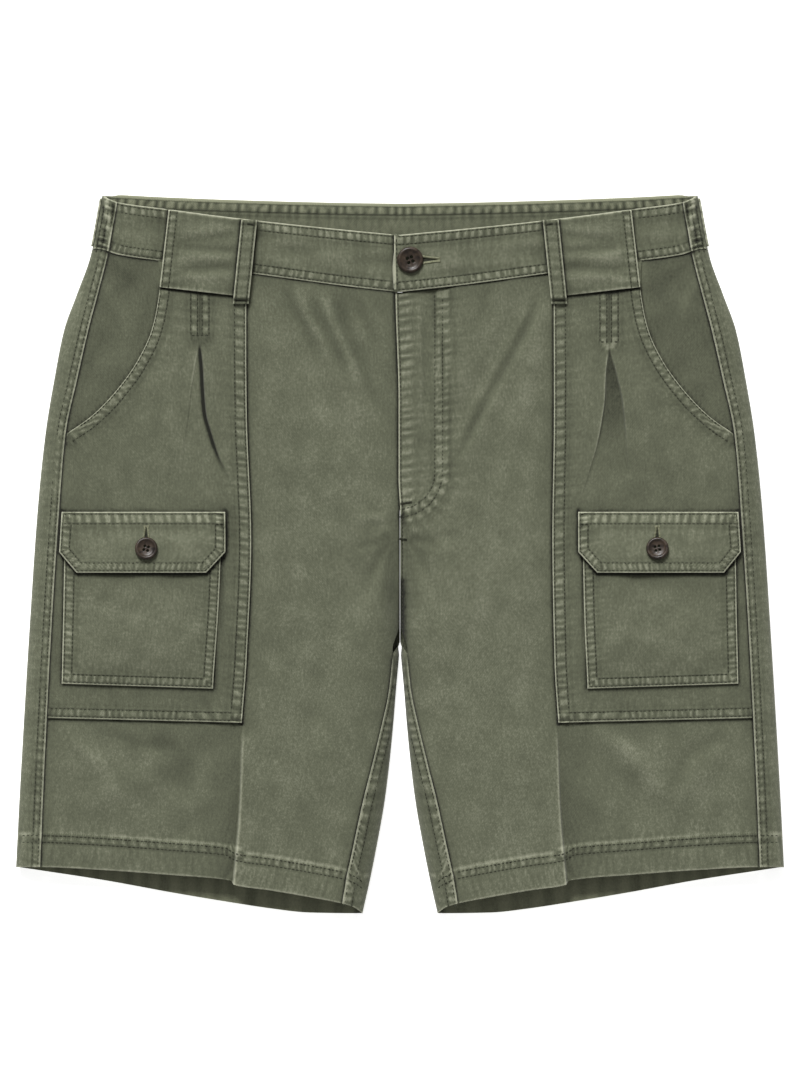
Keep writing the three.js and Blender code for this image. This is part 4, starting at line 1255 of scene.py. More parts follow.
for side in (-1, 1):
    make_patch(side)

# %% [markdown]
# ## Cargo pockets and flaps
# The pocket is sewn to the patch on three sides and stands off it a little in the middle. The flap is
# double cloth, sewn along its top, with its two lower corners cut off. Their outlines are short lists of
# corners, and the seam rows follow the same corners moved in.

# %% The pockets
POCKET_PUFF = 2.4
FLAP_SEWN_DROP = 233
FLAP_STAND = 0.5
POCKET_ROWS = (1.4, 7.0)


def pocket_puff(x, drop):
    away = np.abs(x)
    across = smooth(132, 158, away) * (1 - smooth(216, 241, away))
    return POCKET_PUFF * across * smooth(228, 262, drop) * (1 - smooth(318, 353, drop))


flap_outline = polyline(FLAP_CORNERS)
pocket_seams = [
    Seam(pocket_outline, POCKET_ROWS, edge=1, swell=0.4, pucker=0.3, pitch=5, seed=91),
    # painted shadow on the pocket below the flap's edge
    DipAndPaintedShade(flap_outline, dark=0.95, width=1.7, wide=0.3),
]


def pocket_height(x, drop):
    more, tone = relief(pocket_seams, np.abs(x), drop)
    creased = 0.5 * bump((drop - 284 - 0.25 * (np.abs(x) - 185)) / 9) * smooth(150, 170, np.abs(x))
    base = patch_base(x, drop) + GAP + PLY + pocket_puff(x, drop)
    return base + more - creased, tone + 0.05 * rumple(x, drop, 18, 36)


def make_pocket(side):
    name = half_name("cargo_pocket", side)
    x, drop = within(
        lambda drop, share: mix(pocket_inner(drop), pocket_outer(drop), share),
        lambda x: 238 + 0 * x,
        pocket_low,
        shares(109, 1.9),
        shares(116, 1.9),
    )
    z, tone = pocket_height(side * x, drop)
    return cloth(name, place(side * x, drop, z), tone, 1.1, TWILL, rests_on=[half_name("patch", side)])


for side in (-1, 1):
    make_pocket(side)

# %% [markdown]
# ## The flaps
# A flap is two layers turned through, so it is thicker than one cloth and its edge is rounder. It hangs
# from the row along its top, swells over the pocket and lifts a little at its free edge, not evenly.

# %% The flaps
FLAP_TOP = FLAP_CORNERS[0][1]
FLAP_TOP_ROWS = (1.5, 8.6)
flap_top_line = polyline([FLAP_CORNERS[0], FLAP_CORNERS[-1]])
flap_seams = [
    Seam(flap_outline, POCKET_ROWS, edge=1, swell=0.35, pucker=0.34, pitch=5.2, seed=92),
    Seam(flap_top_line, FLAP_TOP_ROWS, edge=1, swell=0.35, pucker=0.42, pitch=5, seed=93),
    Slit((184.3, 239.4), (184.3, 248.5), 2.2),
]


def flap_height(x, drop):
    more, tone = relief(flap_seams, np.abs(x), drop)
    lift = FLAP_STAND + pocket_puff(x, drop) + 0.7 * smooth(245, 270, drop)
    lift = lift + (PLY + GAP) * smooth(FLAP_SEWN_DROP - 4, FLAP_SEWN_DROP + 4, drop)
    wave = 0.5 * rumple(x, 0.5 * drop, 40, 37) * smooth(240, 272, drop)
    return patch_base(x, drop) + lift + 1.8 + more + wave, tone + 0.06 * rumple(x, drop, 16, 38)


def make_flap(side):
    corners = np.array(FLAP_CORNERS)
    straight, cut = 28.8, 14.8  # how far the sides run straight down, and then how tall the cut corners are
    low = shares(cut, 1.3, [0, 0.5, 1.2, 2.2, 3.4])[1:]
    rows = np.concatenate([shares(straight, 1.5) * straight, straight + low * cut])
    u, drop = np.meshgrid(shares(116, 1.7), FLAP_TOP + rows, indexing="ij")
    inner_x = np.interp(drop, corners[:3, 1], corners[:3, 0])
    outer_x = np.interp(drop, corners[:2:-1, 1], corners[:2:-1, 0])
    x = mix(inner_x, outer_x, u)
    z, tone = flap_height(side * x, drop)
    on = [half_name("cargo_pocket", side), half_name("patch", side)]
    return cloth(half_name("flap", side), place(side * x, drop, z), tone, 1.6, TWILL, rests_on=on)


for side in (-1, 1):
    make_flap(side)

# %% [markdown]
# ## Belt tabs and loops
# A wide tab bridges the waistband above each pleat, with a narrow loop on its inner edge. The loop's end
# hangs past the tab and steps down onto the patch. At each side fold one more loop is on the back; only
# its edge shows. They are all strips, with both long edges sewn.

# %% Tabs and loops
TAB = dict(
    inner_top=109.5,
    outer_top=TAB_OUTER_TOP,
    inner_low=111,
    outer_low=TAB_OUTER_LOW,
    inner_drop=74,
    outer_drop=67,
)
TAB_ROWS = (1.5, 6.4)
LOOP = dict(width=LOOP_WIDTH, top_x=LOOP_TOP, low_x=LOOP_LOW, low_drop=79)
LOOP_ROWS = (-3.9, 3.9)
LOOP_STARTS = 0.4  # how far below the waistband's edge a tab or loop is caught
TAB_LIFT = GAP + PLY + GAP
DOUBLE = 1.8
tab_outer_line = polyline([(TAB["outer_top"], 11.4), (TAB["outer_low"], 67)])
loop_edges = [polyline([(LOOP["top_x"] + k, 18), (LOOP["low_x"] + k, 79)]) for k in (-LOOP_WIDTH / 2, LOOP_WIDTH / 2)]
tab_top_line = polyline([(110, 18.6), (TAB["outer_top"], 11.4)])
tab_seams = [
    Seam(tab_outer_line, TAB_ROWS, edge=1, swell=0.35, pucker=0.3, pitch=5.2, seed=101),
    Seam(tab_low_line, (0.2,), edge=0.6, swell=0, pucker=0.2, seed=102, sewn=()),
    Seam(tab_top_line, (0.2,), edge=0.9, swell=0, pucker=0.2, seed=103, sewn=()),
    # painted shade on the tab beside the loop's edge
    DipAndPaintedShade(loop_edges[1], dark=0.9, width=1.4),
]
# Each crease across a tab: its drop in the middle of the tab, its slope, its width and its height.
TAB_CREASES = [
    (27, 0.10, 2.6, 0.6),
    (33, 0.16, 2.4, -0.5),
    (40, -0.05, 2.2, -0.9),
    (46, -0.06, 3.0, 0.7),
    (54, 0.04, 2.4, -0.9),
    (60, 0.02, 3.0, 0.6),
]


def tab_height(x, drop):
    more, tone = relief(tab_seams, np.abs(x), drop)
    soft = 0.35 * rumple(0.6 * x, drop, 17, 39)
    inside = smooth(112, 124, np.abs(x)) * (1 - smooth(150, 164, np.abs(x)))
    for middle, slant, width, rise in TAB_CREASES:
        soft = soft + inside * rise * bump((drop - middle - slant * (np.abs(x) - 138)) / width)
    base = top(x, drop) + TAB_LIFT + DOUBLE
    # the tab's creases are painted paler on top and darker in their troughs: painted light and shade
    return base + more + soft, tone + 0.16 * soft


def loop_middle(drop):
    start = float(waist_front(LOOP["top_x"])) + LOOP_STARTS
    return mix(LOOP["top_x"], LOOP["low_x"], (drop - start) / (LOOP["low_drop"] - start))


def loop_height(x, drop):
    off = np.abs(np.abs(x) - loop_middle(drop))
    base = mix(TAB_LIFT + DOUBLE + GAP, TAB_LIFT, smooth(74.6, 77, drop)) + DOUBLE
    edge = 1 - round_over((LOOP["width"] / 2 - off + 0.1) / 1.2)
    ends = bump((drop - 22) / 1.2) + bump((drop - 76.4) / 1.2)
    grooves = bump((off - 3.9) / 0.6)
    height = top(x, drop) + base - 0.7 * edge - 0.3 * grooves - 0.3 * ends + 0.3 * (1 - (off / 6) ** 2)
    # the grooves and the stitched ends are darker, partly dye kept in them and partly painted shade
    tone = 0.85 * bump((off - 5.75) / 0.9) - 0.45 * grooves - 0.4 * ends + 0.1 * ripple(drop, 0 * x, 7, 111)
    return height, tone


def make_tab(side):
    name = half_name("belt_tab", side)
    u, v = np.meshgrid(shares(58, 1.8), shares(56, 1.8), indexing="ij")
    start = waist_front(mix(TAB["inner_top"], TAB["outer_top"], u)) + LOOP_STARTS
    drop = mix(start, mix(TAB["inner_drop"], TAB["outer_drop"], u), v)
    x = mix(mix(TAB["inner_top"], TAB["inner_low"], v), mix(TAB["outer_top"], TAB["outer_low"], v), u)
    z, tone = tab_height(side * x, drop)
    on = [half_name("waistband_front", side), half_name("patch", side)]
    return cloth(name, place(side * x, drop, z), tone, 1.5, TWILL, rests_on=on)


def make_front_loop(side):
    name = half_name("belt_loop_front", side)
    start = float(waist_front(LOOP["top_x"])) + LOOP_STARTS
    off, drop = np.meshgrid(np.linspace(-1, 1, 17), np.linspace(start, LOOP["low_drop"], 56), indexing="ij")
    x = loop_middle(drop) + off * LOOP["width"] / 2
    z, tone = loop_height(side * x, drop)
    on = [half_name("belt_tab", side), half_name("patch", side)]
    return cloth(name, place(side * x, drop, z), tone, 1.5, TWILL, rests_on=on)


for side in (-1, 1):
    make_tab(side)
    make_front_loop(side)

# %% [markdown]
# ## The loops behind
# A side loop wraps the fold, so it follows the back waistband's own path moved out by its thickness. The
# one at the centre back lies flat between the waistband and the table.

# %% The side loops and the back loop
SIDE_LOOP_LIFT = 1.45


def make_side_loop(side):
    """It wraps the fold of the back waistband, moved out from it, with the table side kept level."""
    name = half_name("belt_loop_side", side)
    turn, v = np.meshgrid(np.linspace(0.24, -1, 21), np.linspace(0.05, 0.95, 18), indexing="ij")
    drop = np.full(v.shape, 20.0)
    for _ in range(12):
        x = round_side(drop, turn)[0]
        start = np.where(turn > 0, waist_front(x), waist_back(x))
        drop = mix(start, np.where(turn > 0, waist_low(x), start + BAND_HEIGHT), v)
    x, z = round_side(drop, turn)
    ahead = round_side(drop, turn + 0.02)
    behind = round_side(drop, turn - 0.02)
    run = np.stack([ahead[0] - behind[0], ahead[1] - behind[1]])
    run = run / np.hypot(*run)
    x, z = x + run[1] * SIDE_LOOP_LIFT, z - run[0] * SIDE_LOOP_LIFT
    tone = 0.5 + 0.3 * ripple(drop, 0 * x, 6, 112)
    points = place(side * x, drop, np.maximum(z, 0.02))
    return cloth(name, points, tone, 1.0, [twill_outside], rests_on=["floor"])


def make_back_loop():
    start = float(waist_back(0)) + 1.5
    x, drop = np.meshgrid(np.linspace(6, -6, 15), np.linspace(start, start + 35.5, 30), indexing="ij")
    z = 1.1 - 0.35 * np.abs(x / 6) ** 4
    # the grooves are darker, partly dye kept in them and partly painted shade
    tone = 0.6 * bump((np.abs(x) - 6) / 1) - 0.4 * bump((np.abs(x) - 4) / 0.7)
    return cloth("belt_loop_back_centre", place(x, drop, z), tone, 1.0, [twill_outside], rests_on=["floor"])


for side in (-1, 1):
    make_side_loop(side)
make_back_loop()

# %% [markdown]
# ## Stitches
# Thread shows as a row of short, fat grains with a hole between each two. There are thousands, so one
# stitch is made once, as a stretched sphere of a few faces, and its copies are joined into one mesh for
# each group of seams. A stitch lies on the height of the cloth under it and turns with the cloth.

# %% One stitch, and rows of it
def stitch_shape():
    made = bmesh.new()
    bmesh.ops.create_uvsphere(made, u_segments=6, v_segments=4, radius=0.5)
    bmesh.ops.rotate(made, verts=made.verts, matrix=Matrix.Rotation(math.pi / 2, 3, "Y"))
    made.verts.index_update()
    verts = np.array([v.co for v in made.verts])
    faces = [[v.index for v in f.verts] for f in made.faces]
    made.free()
    return verts, faces


STITCH, STITCH_FACES = stitch_shape()
STITCH_MM = dict(length=2.2, width=0.85, height=0.6, pitch=2.9)
thread_runs = {}
print("one stitch has", len(STITCH_FACES), "faces")

# %% [markdown]
# ## Laying stitches
# A stitch needs a place, a direction and the slope of the cloth there. The slope comes from the height a
# little to each side. All the stitches of a row are worked out together as arrays, since there are
# thousands and a loop over them would be slow.

# %% Laying stitches along a line


def lay_stitches(group, height, centres, turns, length, width, thick, sink=0.12):
    """Adds stitches at places in x and drop, each along its own direction in that plane."""
    x, drop = centres.T
    step = 0.4
    z = height(x, drop)[0]
    slope_x = (height(x + step, drop)[0] - height(x - step, drop)[0]) / (2 * step)
    slope_y = (height(x, drop - step)[0] - height(x, drop + step)[0]) / (2 * step)
    up = np.stack([-slope_x, -slope_y, np.ones(len(x))], 1)
    up /= np.linalg.norm(up, axis=1)[:, None]
    run = np.stack([turns[:, 0], -turns[:, 1], np.zeros(len(x))], 1)
    run -= up * np.sum(run * up, axis=1)[:, None]
    run /= np.linalg.norm(run, axis=1)[:, None]
    wide = np.cross(up, run)
    centre = place(x, drop, z) / MM + up * sink
    shape = STITCH * (length, width, thick)
    points = centre[:, None] + shape[None, :, :1] * run[:, None] + shape[None, :, 1:2] * wide[:, None]
    points = (points + shape[None, :, 2:] * up[:, None]) * MM
    thread_runs.setdefault(group, []).append(points)


def sew(group, height, line, side=1):
    """A row of stitches along a line, mirrored to this half."""
    line = np.array(line, float) * (side, 1)
    step = np.hypot(*np.diff(line, axis=0).T)
    along = np.concatenate([[0], np.cumsum(step)])
    count = max(1, int(along[-1] / STITCH_MM["pitch"]))
    at = (np.arange(count) + 0.5) * along[-1] / count
    centres = np.stack([np.interp(at, along, line[:, k]) for k in (0, 1)], 1)
    ahead = np.stack([np.interp(at + 0.5, along, line[:, k]) for k in (0, 1)], 1)
    behind = np.stack([np.interp(at - 0.5, along, line[:, k]) for k in (0, 1)], 1)
    turns = ahead - behind
    turns /= np.maximum(np.hypot(*turns.T), 1e-6)[:, None]
    size = STITCH_MM
    lay_stitches(group, height, centres, turns, size["length"], size["width"], size["height"])


def bartack(group, height, start, end, side=1, width=1.7, spacing=0.45):
    """Close stitches across a short line, as the machine that secures a pocket's corner leaves them."""
    start, end = np.array(start, float) * (side, 1), np.array(end, float) * (side, 1)
    run = end - start
    count = max(2, int(np.hypot(*run) / spacing))
    centres = start + run * ((np.arange(count) + 0.5) / count)[:, None]
    across = np.array([run[1], -run[0]]) / np.hypot(*run)
    lay_stitches(group, height, centres, np.tile(across, (count, 1)), width, 0.55, 0.8, sink=0.25)


print("a row of 100 mm has", int(100 / STITCH_MM["pitch"]), "stitches")

# %% [markdown]
# ## Thread
# The seams are sewn with cotton-wrapped thread that was dyed with the cloth and then faded less, so it
# shows as a dark, dotted line. The buttonholes are sewn in a thicker, paler one.

# %% The two threads
def cotton_thread(name, colour, pale):
    """Spun cotton-wrapped thread, dyed with the cloth, so it is a little darker and as matt."""
    material, tree, output = new_material(name)
    place_of = node(tree, "ShaderNodeTexCoord")
    twist = node(
        tree,
        "ShaderNodeTexNoise",
        inputs={"Scale": 900, "Detail": 2},
        links={"Vector": place_of.outputs["Object"]},
    )
    shade = node(tree, "ShaderNodeValToRGB", links={"Fac": twist.outputs["Fac"]})
    shade.color_ramp.elements[0].position, shade.color_ramp.elements[0].color = 0.3, linear(colour)
    shade.color_ramp.elements[1].position, shade.color_ramp.elements[1].color = 0.75, linear(pale)
    shader = node(
        tree,
        "ShaderNodeBsdfPrincipled",
        inputs={"Roughness": 0.85, "IOR": 1.45, "Specular IOR Level": 0.3},
        links={"Base Color": shade.outputs["Color"]},
    )
    tree.links.new(shader.outputs["BSDF"], output.inputs["Surface"])
    return material


thread = cotton_thread("cotton_thread", "#26281E", "#3D3F32")
lip_thread = cotton_thread("buttonhole_thread", "#66684F", "#9A9B82")

print("thread materials:", thread.name, lip_thread.name)

# %% [markdown]
# ## Sewing every seam
# A row is one call: the group that it belongs to, the height of the cloth under it, and its line, which is
# the seam's own line moved by the row's distance. Both halves are sewn by the same calls, mirrored. The
# corners that take the strain have bartacks, which are close stitches across a short line.

# %% Sew the legs, the patches and the pockets
strip = strip_seams()


def strip_height(x, drop):
    return top(x, drop) + relief(strip, np.abs(x), drop)[0], 0


def sew_legs(side):
    for row in HEM_ROWS:
        sew("stitches_fronts", front_height(side), line_across(lambda x: hem_front(x) - row, 41, 256.5), side)
        sew("stitches_backs", strip_height, line_across(lambda x: hem_front(x) - row, 259, 272), side)
        sew("stitches_backs", strip_height, line_across(lambda x: hem_front(x) - row, 27, 37), side)
    for row in SIDE_ROWS:
        sew("stitches_backs", strip_height, line_down(lambda d: side_seam(d) + row, 46, 482), side)
    for row, start in zip(INSEAM_ROWS, (352, 390)):
        sew("stitches_backs", strip_height, line_down(lambda d: inner_seam(d) - row, start, 512), side)


def sew_patch(side):
    patch = patch_height(side)
    middle, low = BOX_X[side], BOX_LOW[side]
    for row in PATCH_ROWS:
        sew("stitches_patches", patch, line_down(lambda d: patch_inner(d) + row, 76, 378 - row), side)
    for row in PATCH_LOW_ROWS:
        sew("stitches_patches", patch, line_across(lambda x: patch_low(x) - row, 114 + row, 251), side)
    sew("stitches_patches", patch, offset(mouth_line, -MOUTH_ROWS[0])[1:-1], side)
    sew("stitches_patches", patch, offset(mouth_line, -MOUTH_ROWS[1]), side)
    for row in BOX_ROWS:
        sew("stitches_patches", patch, [(middle + row, 71), (middle + row, low)], side)
    sew("stitches_patches", patch, [(middle + BOX_ROWS[0], low), (middle + BOX_ROWS[-1], low)], side)


def sew_pocket(side):
    for row, first_drop in zip(POCKET_ROWS, (229.6, 236.8)):
        inner = line_down(lambda d: pocket_inner(d) + row, 262, 354 - row)
        outer = line_down(lambda d: pocket_outer(d) - row, 262, 351 - row)
        low = line_across(lambda x: pocket_low(x) - row, 134.5 + row, 242 - row)
        for line in (inner, outer, low):
            sew("stitches_pockets", pocket_height, line, side)
        inset = offset(np.array(FLAP_CORNERS), row)
        inset[0, 1] = inset[-1, 1] = first_drop
        sew("stitches_pockets", flap_height, polyline(inset), side)
    for row in FLAP_TOP_ROWS:
        sew("stitches_pockets", flap_height, [(129, FLAP_TOP + row), (241.5, FLAP_TOP + row)], side)


for side in (-1, 1):
    sew_legs(side)
    sew_patch(side)
    sew_pocket(side)
print("groups so far:", ", ".join(thread_runs))

# %% [markdown]
# ## Sewing the waist and the fly
# The waistband's rows stop at the belt tabs and go on past them, because the tab is sewn on afterwards.
# On the -X half the inner lower row starts a little later, where the other half's end covers it.

# %% Sew the waist and the fly
def side_band_height(x, drop):
    return top(x, drop) + BAND_RISE, 0


def band_spans(side, row):
    """Where a row starts and stops along the upper and then the lower edge, before and after the tab."""
    start = -2 if side > 0 else 6
    low_start = start if side > 0 or row < 2 else start + 3
    return [(start, 101, low_start, 107), (170.5, 201, 170.5, 201)]


def sew_waist(side):
    band = band_height(side)
    for row in BAND_ROWS:
        for first, last, low_first, low_last in band_spans(side, row):
            upper = line_across(lambda x: waist_front(np.abs(x)) + row, first, last)
            lower = line_across(lambda x: waist_low(np.abs(x)) - row, low_first, low_last)
            sew("stitches_waistband", band, upper, side)
            sew("stitches_waistband", band, lower, side)
    for row in TAB_ROWS:
        sew("stitches_waistband", tab_height, offset(tab_outer_line, -row), side)
    for row in ELASTIC_ROWS:
        sew("stitches_waistband", side_band_height, line_down(lambda d: side_seam(d) + row, 7, 42), side)
    for row in LOOP_ROWS:
        sew("stitches_waistband", loop_height, line_down(lambda d: loop_middle(d) + row, 20, 78), side)
    bartack("stitches_waistband", loop_height, (109.5, 21.6), (104.0, 22.4), side)
    bartack("stitches_waistband", loop_height, (109.4, 76.6), (118.3, 76.0), side)


for side in (-1, 1):
    sew_waist(side)

right_front = front_height(1)
for inset in FLY_ROWS:
    sew("stitches_fronts", right_front, fly_j(inset))
sew("stitches_fronts", right_front, line_down(lambda d: fly_lap(d) + 1.6, 72, 228))
sew("stitches_fronts", right_front, line_down(lambda d: 1.8 + 0 * d, FLY_END, 326))
bartack("stitches_fronts", right_front, (0.2, 222.5), (8.5, 221.2), width=2.0)
bartack("stitches_fronts", right_front, (-0.6, 247.5), (5.0, 248.0), width=1.8)
sew("stitches_waistband", band_height(1), [(-2.6, 32), (-2.0, 66)])

INSIDE_STAND = 1.0  # how high the thread lies over the back waistband's middle layer


def inside_band_height(x, drop):
    return WAIST_LIFT + INSIDE_STAND + 0 * x, 0


for row in BAND_ROWS:
    inside_row = line_across(lambda x: waist_back(np.abs(x)) + row, -205, 205)
    sew("stitches_waistband", inside_band_height, inside_row)
print("stitches:", sum(len(chunk) for chunks in thread_runs.values() for chunk in chunks))


def join_stitches(name, chunks, material):
    """One mesh of all the stitches in a group, each a copy of the one stitch, carried to its place."""
    points = np.concatenate(chunks)
    count, size = points.shape[:2]
    faces = [[k * size + v for v in face] for k in range(count) for face in STITCH_FACES]
    mesh = bpy.data.meshes.new(name)
    mesh.from_pydata(points.reshape(-1, 3).tolist(), [], faces)
    mesh.polygons.foreach_set("use_smooth", [True] * len(mesh.polygons))
    mesh.materials.append(material)
    piece = bpy.data.objects.new(name, mesh)
    bpy.context.scene.collection.objects.link(piece)
    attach(piece, "root")
    print(name, count, "stitches")
    return piece


# %% [markdown]
# ## Buttons
# The buttons are moulded resin: a disc with a rounded rim, a shallow dish and four holes. The outline is
# spun about the axis, and the holes are cut by a boolean with four thin rods. The buttonhole is two lips
# of satin stitches that part round the button's shank, with a slit between them painted dark as shade.

# %% Resin, buttons and buttonholes
def button_resin():
    """Dark brown polyester resin, tumbled: half matt, with clouds of paler brown in it."""
    material, tree, output = new_material("tumbled_resin")
    place_of = node(tree, "ShaderNodeTexCoord")
    clouds = node(
        tree, "ShaderNodeTexNoise", inputs={"Scale": 210, "Detail": 3, "Distortion": 1.2},
        links={"Vector": place_of.outputs["Object"]},
    )
    colour = node(tree, "ShaderNodeValToRGB", links={"Fac": clouds.outputs["Fac"]})
    colour.color_ramp.elements[0].position, colour.color_ramp.elements[0].color = 0.32, linear("#1A1410")
    colour.color_ramp.elements[1].position, colour.color_ramp.elements[1].color = 0.74, linear("#403428")
    rough = node(
        tree, "ShaderNodeMapRange",
        inputs={"From Min": 0.3, "From Max": 0.7, "To Min": 0.3, "To Max": 0.46},
        links={"Value": clouds.outputs["Fac"]},
    )
    shader = node(
        tree, "ShaderNodeBsdfPrincipled", inputs={"IOR": 1.5, "Specular IOR Level": 0.35},
        links={"Base Color": colour.outputs["Color"], "Roughness": rough.outputs["Result"]},
    )
    tree.links.new(shader.outputs["BSDF"], output.inputs["Surface"])
    return material


resin = button_resin()
RIM = [(0, 0), (0.78, 0), (0.93, 0.12), (1, 0.4), (1, 0.62), (0.95, 0.86), (0.87, 1), (0.78, 0.98), (0.71, 0.82)]
RIM += [(0.66, 0.72), (0.5, 0.62), (0.25, 0.58), (0, 0.57)]
BUTTON_THICK = 3.2


print("resin is", resin.name)

# %% [markdown]
# ## From an outline to a button
# Half of the button's section is turned about its axis. The four holes are rods taken away from it, and a
# small bevel softens the edges that they leave. The button tilts as the cloth under it does, so its seat
# is measured on four sides.

# %% The three buttons
HOLE_SPREAD = 0.17
HOLE_RADIUS = 0.13
SEAT = 4  # how far from the middle the cloth's slope is measured


def spun(outline, radius, thickness, steps=56):
    made = bmesh.new()
    verts = [made.verts.new((r * radius, 0, z * thickness)) for r, z in outline]
    edges = [made.edges.new(pair) for pair in zip(verts[:-1], verts[1:])]
    bmesh.ops.spin(
        made, geom=verts + edges, cent=(0, 0, 0), axis=(0, 0, 1), angle=2 * math.pi, steps=steps, use_merge=True
    )
    bmesh.ops.remove_doubles(made, verts=made.verts, dist=1e-5)
    bmesh.ops.recalc_face_normals(made, faces=made.faces)
    return made


def as_object(made, name):
    mesh = bpy.data.meshes.new(name)
    made.to_mesh(mesh)
    made.free()
    piece = bpy.data.objects.new(name, mesh)
    bpy.context.scene.collection.objects.link(piece)
    return piece


def make_button(name, radius, x, drop, height, lift):
    piece = as_object(spun(RIM, radius, BUTTON_THICK), name)
    rods = bmesh.new()
    spread, hole = radius * HOLE_SPREAD, radius * HOLE_RADIUS
    for dx in (-spread, spread):
        for dy in (-spread, spread):
            at = Matrix.Translation((dx, dy, 1.5))
            bmesh.ops.create_cone(
                rods, cap_ends=True, segments=16, radius1=hole, radius2=hole, depth=8, matrix=at
            )
    cutter = as_object(rods, name + "_rods")
    cut = piece.modifiers.new("holes", "BOOLEAN")
    cut.operation = "DIFFERENCE"
    cut.solver = "EXACT"
    cut.object = cutter
    evaluated = piece.evaluated_get(bpy.context.evaluated_depsgraph_get())
    mesh = bpy.data.meshes.new_from_object(evaluated)
    piece.modifiers.clear()
    piece.data = mesh
    mesh.name = name
    bpy.data.objects.remove(cutter)
    around = [(0, 0), (SEAT, 0), (0, -SEAT), (-SEAT, 0), (0, SEAT)]
    seat = np.array([(x + across, drop + down) for across, down in around], float)
    z = height(seat[:, 0], seat[:, 1])[0]
    up = Vector((-(z[1] - z[3]) / (2 * SEAT), -(z[2] - z[4]) / (2 * SEAT), 1)).normalized()
    turn = up.to_track_quat("Z", "Y").to_matrix().to_4x4()
    at = Matrix.Translation(place(np.array(float(x)), drop, float(z.mean()) + lift).tolist())
    mesh.transform(at @ Matrix.Scale(MM, 4) @ turn)
    mesh.polygons.foreach_set("use_smooth", [True] * len(mesh.polygons))
    mesh.materials.clear()
    mesh.materials.append(resin)
    soften = piece.modifiers.new("rounded edges", "BEVEL")
    soften.width = 0.12 * MM
    soften.segments = 2
    soften.limit_method = "ANGLE"
    soften.angle_limit = math.radians(50)
    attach(piece, "root")
    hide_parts(name)
    print(name, "diameter", 2 * radius, "mm")
    return piece


def buttonhole(group, height, start, end, opening):
    """Two lips of satin stitches, from the far end, where they meet, to the button, where they part."""
    start, end = np.array(start, float), np.array(end, float)
    run = end - start
    across = np.array([run[1], -run[0]]) / np.hypot(*run)
    for lip in (-1, 1):
        part = end + across * lip * opening
        begin = start + across * lip * 0.9
        bartack(group, height, begin, part, width=1.9, spacing=0.42)
    bartack(group, height, start - across * 1.9, start + across * 1.9, width=1.7)


FLAP_BUTTON = dict(radius=8.1, x=184.3, drop=254.6)
WAIST_BUTTON = dict(radius=9.4, x=7.2, drop=47.5)
for side in (-1, 1):
    x, drop = side * FLAP_BUTTON["x"], FLAP_BUTTON["drop"]
    make_button(half_name("button_flap", side), FLAP_BUTTON["radius"], x, drop, flap_height, 0.4)
    buttonhole("buttonholes", flap_height, (x, 238.6), (x, 248.5), 2.2)
x, drop = WAIST_BUTTON["x"], WAIST_BUTTON["drop"]
make_button("button_waist", WAIST_BUTTON["radius"], x, drop, band_height(1), 0.5)
buttonhole("buttonholes", band_height(1), (28.2, 47.2), (14.4, 47.4), 2.7)

for group, chunks in thread_runs.items():
    join_stitches(group, chunks, lip_thread if group == "buttonholes" else thread)

# %% [markdown]
# ## What each sheet was cut to
# The flat size of each sheet is measured along its own grid lines, all round for a back, and kept
# with the piece that it lies on; here their count and total area are printed. The seam rows go with the
# group of pieces that they hold.

for name, row in cloth_pieces.items():
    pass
print(len(cloth_pieces), "sheets declared,", round(sum(row["area"] for row in cloth_pieces.values()), 2), "m2")

# %% [markdown]
# ## Table, light and camera
# The table is plain and nearly white, and glows a little so that it stays so. One light does the modelling:
# it shines down the garment from the waist end as a large window would, so flaps and folds throw a short,
# soft shadow, and the white room fills the rest. The camera looks straight down, as over a flat lay, far
# enough off to keep the outline true.

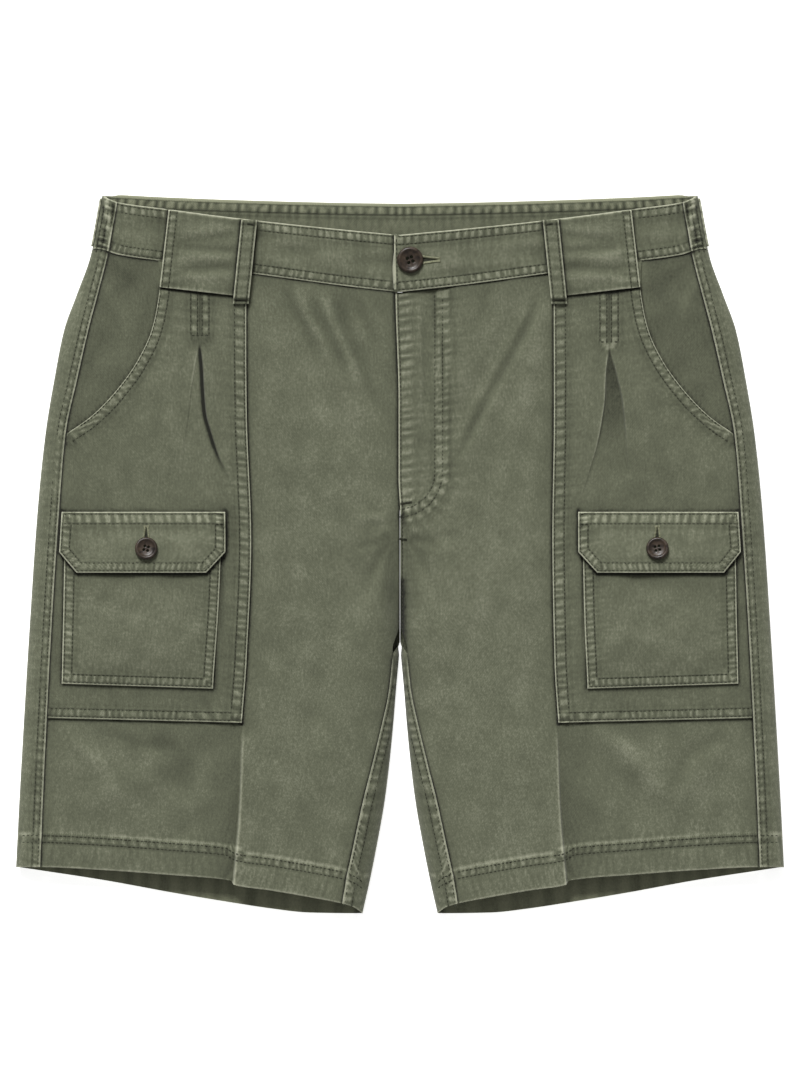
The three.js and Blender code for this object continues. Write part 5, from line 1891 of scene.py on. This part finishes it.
# %% Set the stage
TABLE_SIZE = 8
TABLE_BELOW = 0.0003
ROOM_STRENGTH = 0.38
bpy.ops.mesh.primitive_plane_add(size=TABLE_SIZE, location=(0, 0, -TABLE_BELOW))
floor = bpy.context.object
floor.name = "floor"
paper, tree, output = new_material("matt_white_table")
paper_noise = node(tree, "ShaderNodeTexNoise", inputs={"Scale": 300, "Detail": 2})
paper_tone = node(tree, "ShaderNodeValToRGB", links={"Fac": paper_noise.outputs["Fac"]})
paper_tone.color_ramp.elements[0].color = linear("#F2F2F0")
paper_tone.color_ramp.elements[1].color = linear("#F6F6F4")
paper_shader = node(
    tree,
    "ShaderNodeBsdfPrincipled",
    inputs={"Roughness": 0.9, "Emission Color": (1, 1, 1, 1), "Emission Strength": 0.7},
    links={"Base Color": paper_tone.outputs["Color"]},
)
tree.links.new(paper_shader.outputs["BSDF"], output.inputs["Surface"])
floor.data.materials.append(paper)

room = bpy.data.worlds.new("white_room")
room.use_nodes = True
room.node_tree.nodes["Background"].inputs["Color"].default_value = (1, 1, 1, 1)
room.node_tree.nodes["Background"].inputs["Strength"].default_value = ROOM_STRENGTH
bpy.context.scene.world = room
print("table", TABLE_SIZE, "m wide, room light", ROOM_STRENGTH)

# %% [markdown]
# ## The window and the camera
# The light's angle is the width of the window as the garment sees it: the wider, the softer the shadows.
# The lens follows from how much of the table the picture shows and how far off the camera is.

# %% The window and the camera
WINDOW_STRENGTH = 4.1
WINDOW_ANGLE = 22
WINDOW_DIRECTION = (0.20, -0.82, -0.72)
window = bpy.data.objects.new("soft_window", bpy.data.lights.new("soft_window", "SUN"))
window.data.energy = WINDOW_STRENGTH
window.data.angle = math.radians(WINDOW_ANGLE)
window.rotation_euler = Vector(WINDOW_DIRECTION).to_track_quat("-Z", "Y").to_euler()
bpy.context.scene.collection.objects.link(window)

CAMERA_HEIGHT = 5.0
CAMERA_UP = 0.0148  # how far the picture's middle lies towards the waist
SENSOR = 36
SHOWN_LENGTH = 0.7682  # how much of the table the long side of the picture shows
camera = bpy.data.objects.new("camera", bpy.data.cameras.new("camera"))
camera.location = (0, CAMERA_UP, CAMERA_HEIGHT)
camera.data.sensor_width = SENSOR
camera.data.lens = SENSOR * CAMERA_HEIGHT / SHOWN_LENGTH
bpy.context.scene.collection.objects.link(camera)
bpy.context.scene.camera = camera
bpy.context.scene.view_settings.view_transform = "Standard"
print("lens", round(camera.data.lens, 1), "mm")
